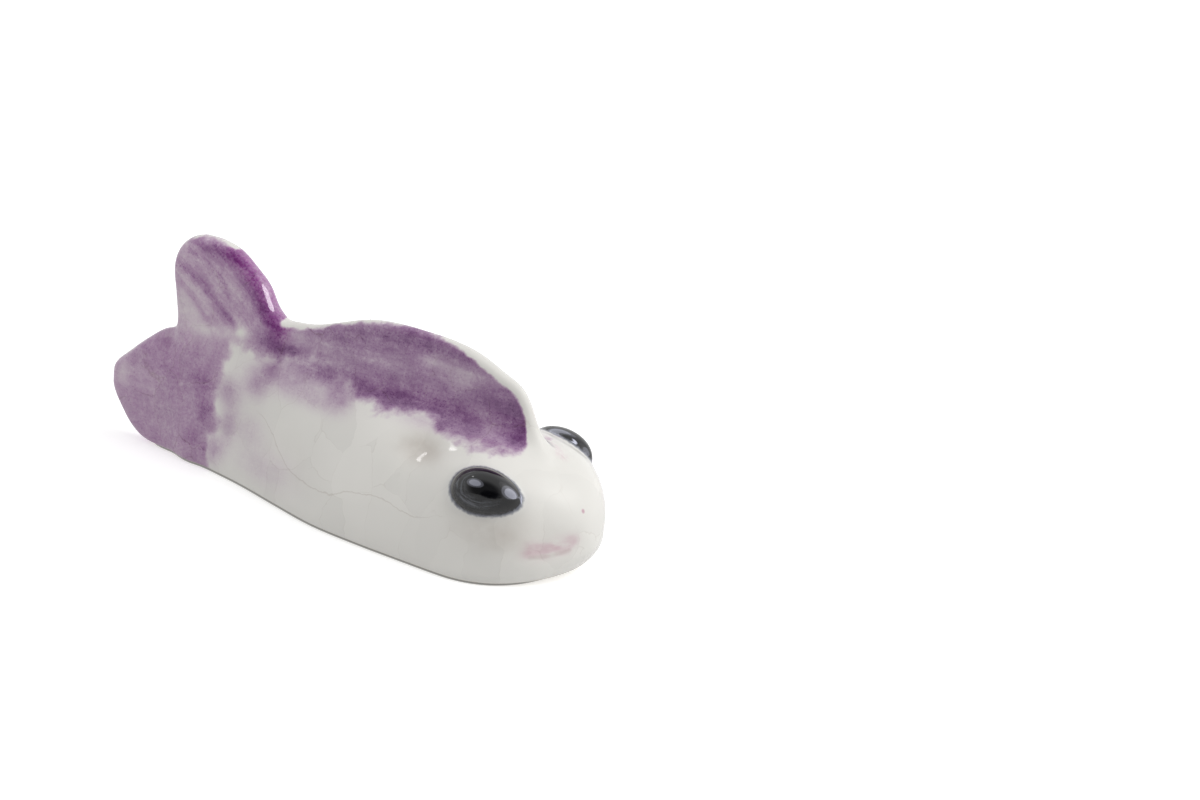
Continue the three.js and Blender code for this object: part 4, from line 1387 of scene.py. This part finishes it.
foot_x = points[points[:, 2] < FOOT_LEVEL, 0]
tight_at_nose = np.sin(np.linspace(0, math.pi / 2, 100))
stations = mix(foot_x.min() + 0.3, foot_x.max() - 0.05, tight_at_nose)
foot_outline = outline_between(
    (stations, foot_edge(stations, 1)), (stations, foot_edge(stations, -1)))
from_foot = outline_distance(foot_outline, gx[:, None], gy[None, :])
grid = np.stack(np.broadcast_arrays(gx[:, None], gy[None, :], -TABLE_GAP / MM / 2), -1)
index = np.arange(from_foot.size).reshape(from_foot.shape)
squares = np.stack([index[:-1, :-1], index[1:, :-1], index[1:, 1:], index[:-1, 1:]], -1)
contact_shadow, tree, shader = flat_sheet(
    "contact_shadow", (grid.reshape(-1, 3) * MM).tolist(), squares.reshape(-1, 4).tolist(), CONTACT_SHADOW_GREY)
contact_shadow.visible_diffuse = contact_shadow.visible_glossy = contact_shadow.visible_shadow = False
put_mark(contact_shadow.data, "from_foot", from_foot.ravel())
from_foot_now = tree.add("Attribute", attribute_name="from_foot").outputs["Fac"]
near_foot = tree.times(tree.fall(from_foot_now, CONTACT_SHADOW_FROM, CONTACT_SHADOW_TO), seen_from_above(tree))
tree.feed(shader.inputs["Alpha"], tree.times(near_foot, CONTACT_SHADOW_DARKNESS))
print("foot in mm, along:", foot_outline[:, 0].min().round(1), foot_outline[:, 0].max().round(1))

# %% [markdown]
# A gloss glaze shows the room it stands in. Two windows, at the upper left and at the right, are
# mirrored as the small bright marks, and nested discs make each brighter in its middle. Two wide
# diffusers add soft light and aren't mirrored. The eyes and the upper lobe mirror windows of their
# own, which light nothing, since a bend in the real clay puts their marks where the model's
# smoother skin would not.

# %% Windows
FISH_MIDDLE = Vector((0, 0, 0.01))


def aim_at_fish(thing):
    towards_fish = FISH_MIDDLE - thing.location
    thing.rotation_euler = towards_fish.to_track_quat("-Z", "Y").to_euler()


def soft_window(name, spot, size, power, tint=(1, 1, 1), mirrored=True, only=()):
    """A lamp. With `only`, it lights nothing and is just mirrored in the glaze of those pieces."""
    data = bpy.data.lights.new(name, "AREA")
    data.shape = "ELLIPSE"
    data.size, data.size_y = size
    data.energy = power
    data.color = tint
    lamp = bpy.data.objects.new(name, data)
    lamp.location = spot
    lamp.visible_glossy = mirrored
    aim_at_fish(lamp)
    bpy.context.scene.collection.objects.link(lamp)
    if only:
        lamp.visible_diffuse = False
        lamp.light_linking.receiver_collection = bpy.data.collections.new(name)
        for piece_name in only:
            lamp.light_linking.receiver_collection.objects.link(pieces[piece_name])


def nested_window(name, spot, size, discs, **settings):
    """Discs round one middle, each with its share of the size and its power in watts."""
    for spread, power in discs:
        soft_window(name, spot, (spread * size[0], spread * size[1]), power, **settings)


LEFT_DISCS = (0.8, 0.04), (1.4, 0.1)
RIGHT_DISCS = (0.6, 0.36), (1.0, 0.6), (1.6, 0.8)
BLUE_TINT = (0.82, 0.84, 1)
BOTH_EYES, LEFT_EYE = ["right_eye", "left_eye"], ["left_eye"]
# Each eye window: its place, its size, its power and the eyes that mirror it
EYE_WINDOWS = [
    ((-0.36, -0.56, 0.75), (0.66, 0.5), 8.0, BOTH_EYES),
    ((0.86, 0.36, 0.37), (1.1, 0.8), 26.0, BOTH_EYES),
    ((-0.38, 0.57, 0.73), (0.6, 0.4), 3.5, LEFT_EYE),
    ((0.17, 0.4, 0.9), (0.2, 0.1), 1.2, LEFT_EYE),
]
nested_window("left_window", (-0.57, -0.03, 0.82), (0.07, 0.06), LEFT_DISCS)
nested_window("right_window", (0.62, 0.42, 0.66), (0.6, 0.5), RIGHT_DISCS)
soft_window("right_diffuser", (0.68, 0.1, 0.7), (0.9, 0.9), 4.4, mirrored=False)
soft_window("left_diffuser", (-0.6, -0.5, 0.62), (0.8, 0.8), 1.5, mirrored=False)
for spot, size, power, eyes in EYE_WINDOWS:
    discs = (1, 0.6 * power), (1.5, 0.4 * power)
    nested_window("eye_window", spot, size, discs, tint=BLUE_TINT, only=eyes)
soft_window("tail_window", (0.68, -0.14, 0.71), (0.75, 0.6), 12.0, only=["tail_upper_lobe"])
print("lamps:", len(bpy.data.lights))

# %% [markdown]
# The middle of the near eye mirrors the dark side of the room. A small black card stands there.
# It is seen in reflections only, and its edge is torn and soft, so that no straight line shows.

# %% A black card for the near eye
CARD_AT, CARD_REACH = (0.063, -0.074, 0.027), (0.05, 0.035)
card, tree, shader = oblong("black_card", *CARD_REACH, (0, 0, 0, 1))
card.location = CARD_AT
aim_at_fish(card)
card.visible_camera = card.visible_diffuse = card.visible_shadow = card.visible_transmission = False
on_card = tree.add("TexCoord").outputs["Object"]
from_middle = tree.vector("DISTANCE", tree.stretch(on_card, (20, 28, 0)), (0, 0, 0))
torn = tree.times_add(tree.noise(on_card, 0.02, detail=3), 0.8, from_middle)
tree.feed(shader.inputs["Alpha"], tree.fall(torn, 0.9, 1.4))
print("card from the fish's middle in mm:", round(card.location.length / MM))

# %% [markdown]
# The world is plain white to the camera. In reflections it has one dark side, as a room has away
# from its windows, and that gives the glaze its depth. It lights the fish at half its strength
# from above, a little more from below, as a white table does, and most from below and behind.

# %% World
WORLD_LIGHT, LIGHT_FROM_TABLE, MORE_FROM_BEHIND = 0.5, 0.6, 0.7
DARK_SIDE, DARK_SIDE_SHARE = (0.2, -0.84, 0.5), 0.85
world = bpy.data.worlds.new("studio")
world.use_nodes = True
tree = Tree(world.node_tree)
rays, directly_seen = looked_at(tree)
towards = tree.vector("NORMALIZE", tree.add("TexCoord").outputs["Generated"])
dark_side = tree.rise(tree.vector("DOT_PRODUCT", towards, DARK_SIDE), 0.5, 0.88)
mirrored = tree.times(rays["Is Glossy Ray"], tree.times_add(dark_side, -DARK_SIDE_SHARE, 1.0))
seen = tree.plus(directly_seen, mirrored)
direction = tree.add("SeparateXYZ", {0: towards}).outputs
below = tree.fall(direction["Z"], -0.05, 0.05)
behind = tree.rise(direction["Y"], 0.0, 0.7)
from_table = tree.times_add(behind, MORE_FROM_BEHIND, LIGHT_FROM_TABLE - WORLD_LIGHT)
light = tree.plus(tree.times(below, from_table), WORLD_LIGHT)
lit = tree.rest(tree.math("MAXIMUM", rays["Is Glossy Ray"], directly_seen))
background = world.node_tree.nodes["Background"]
background.inputs["Color"].default_value = (1, 1, 1, 1)
tree.feed(background.inputs["Strength"], tree.times_add(lit, light, seen))
bpy.context.scene.world = world
bpy.context.scene.view_settings.view_transform = "Standard"
print("light from the world:", WORLD_LIGHT, "and from below:", LIGHT_FROM_TABLE)
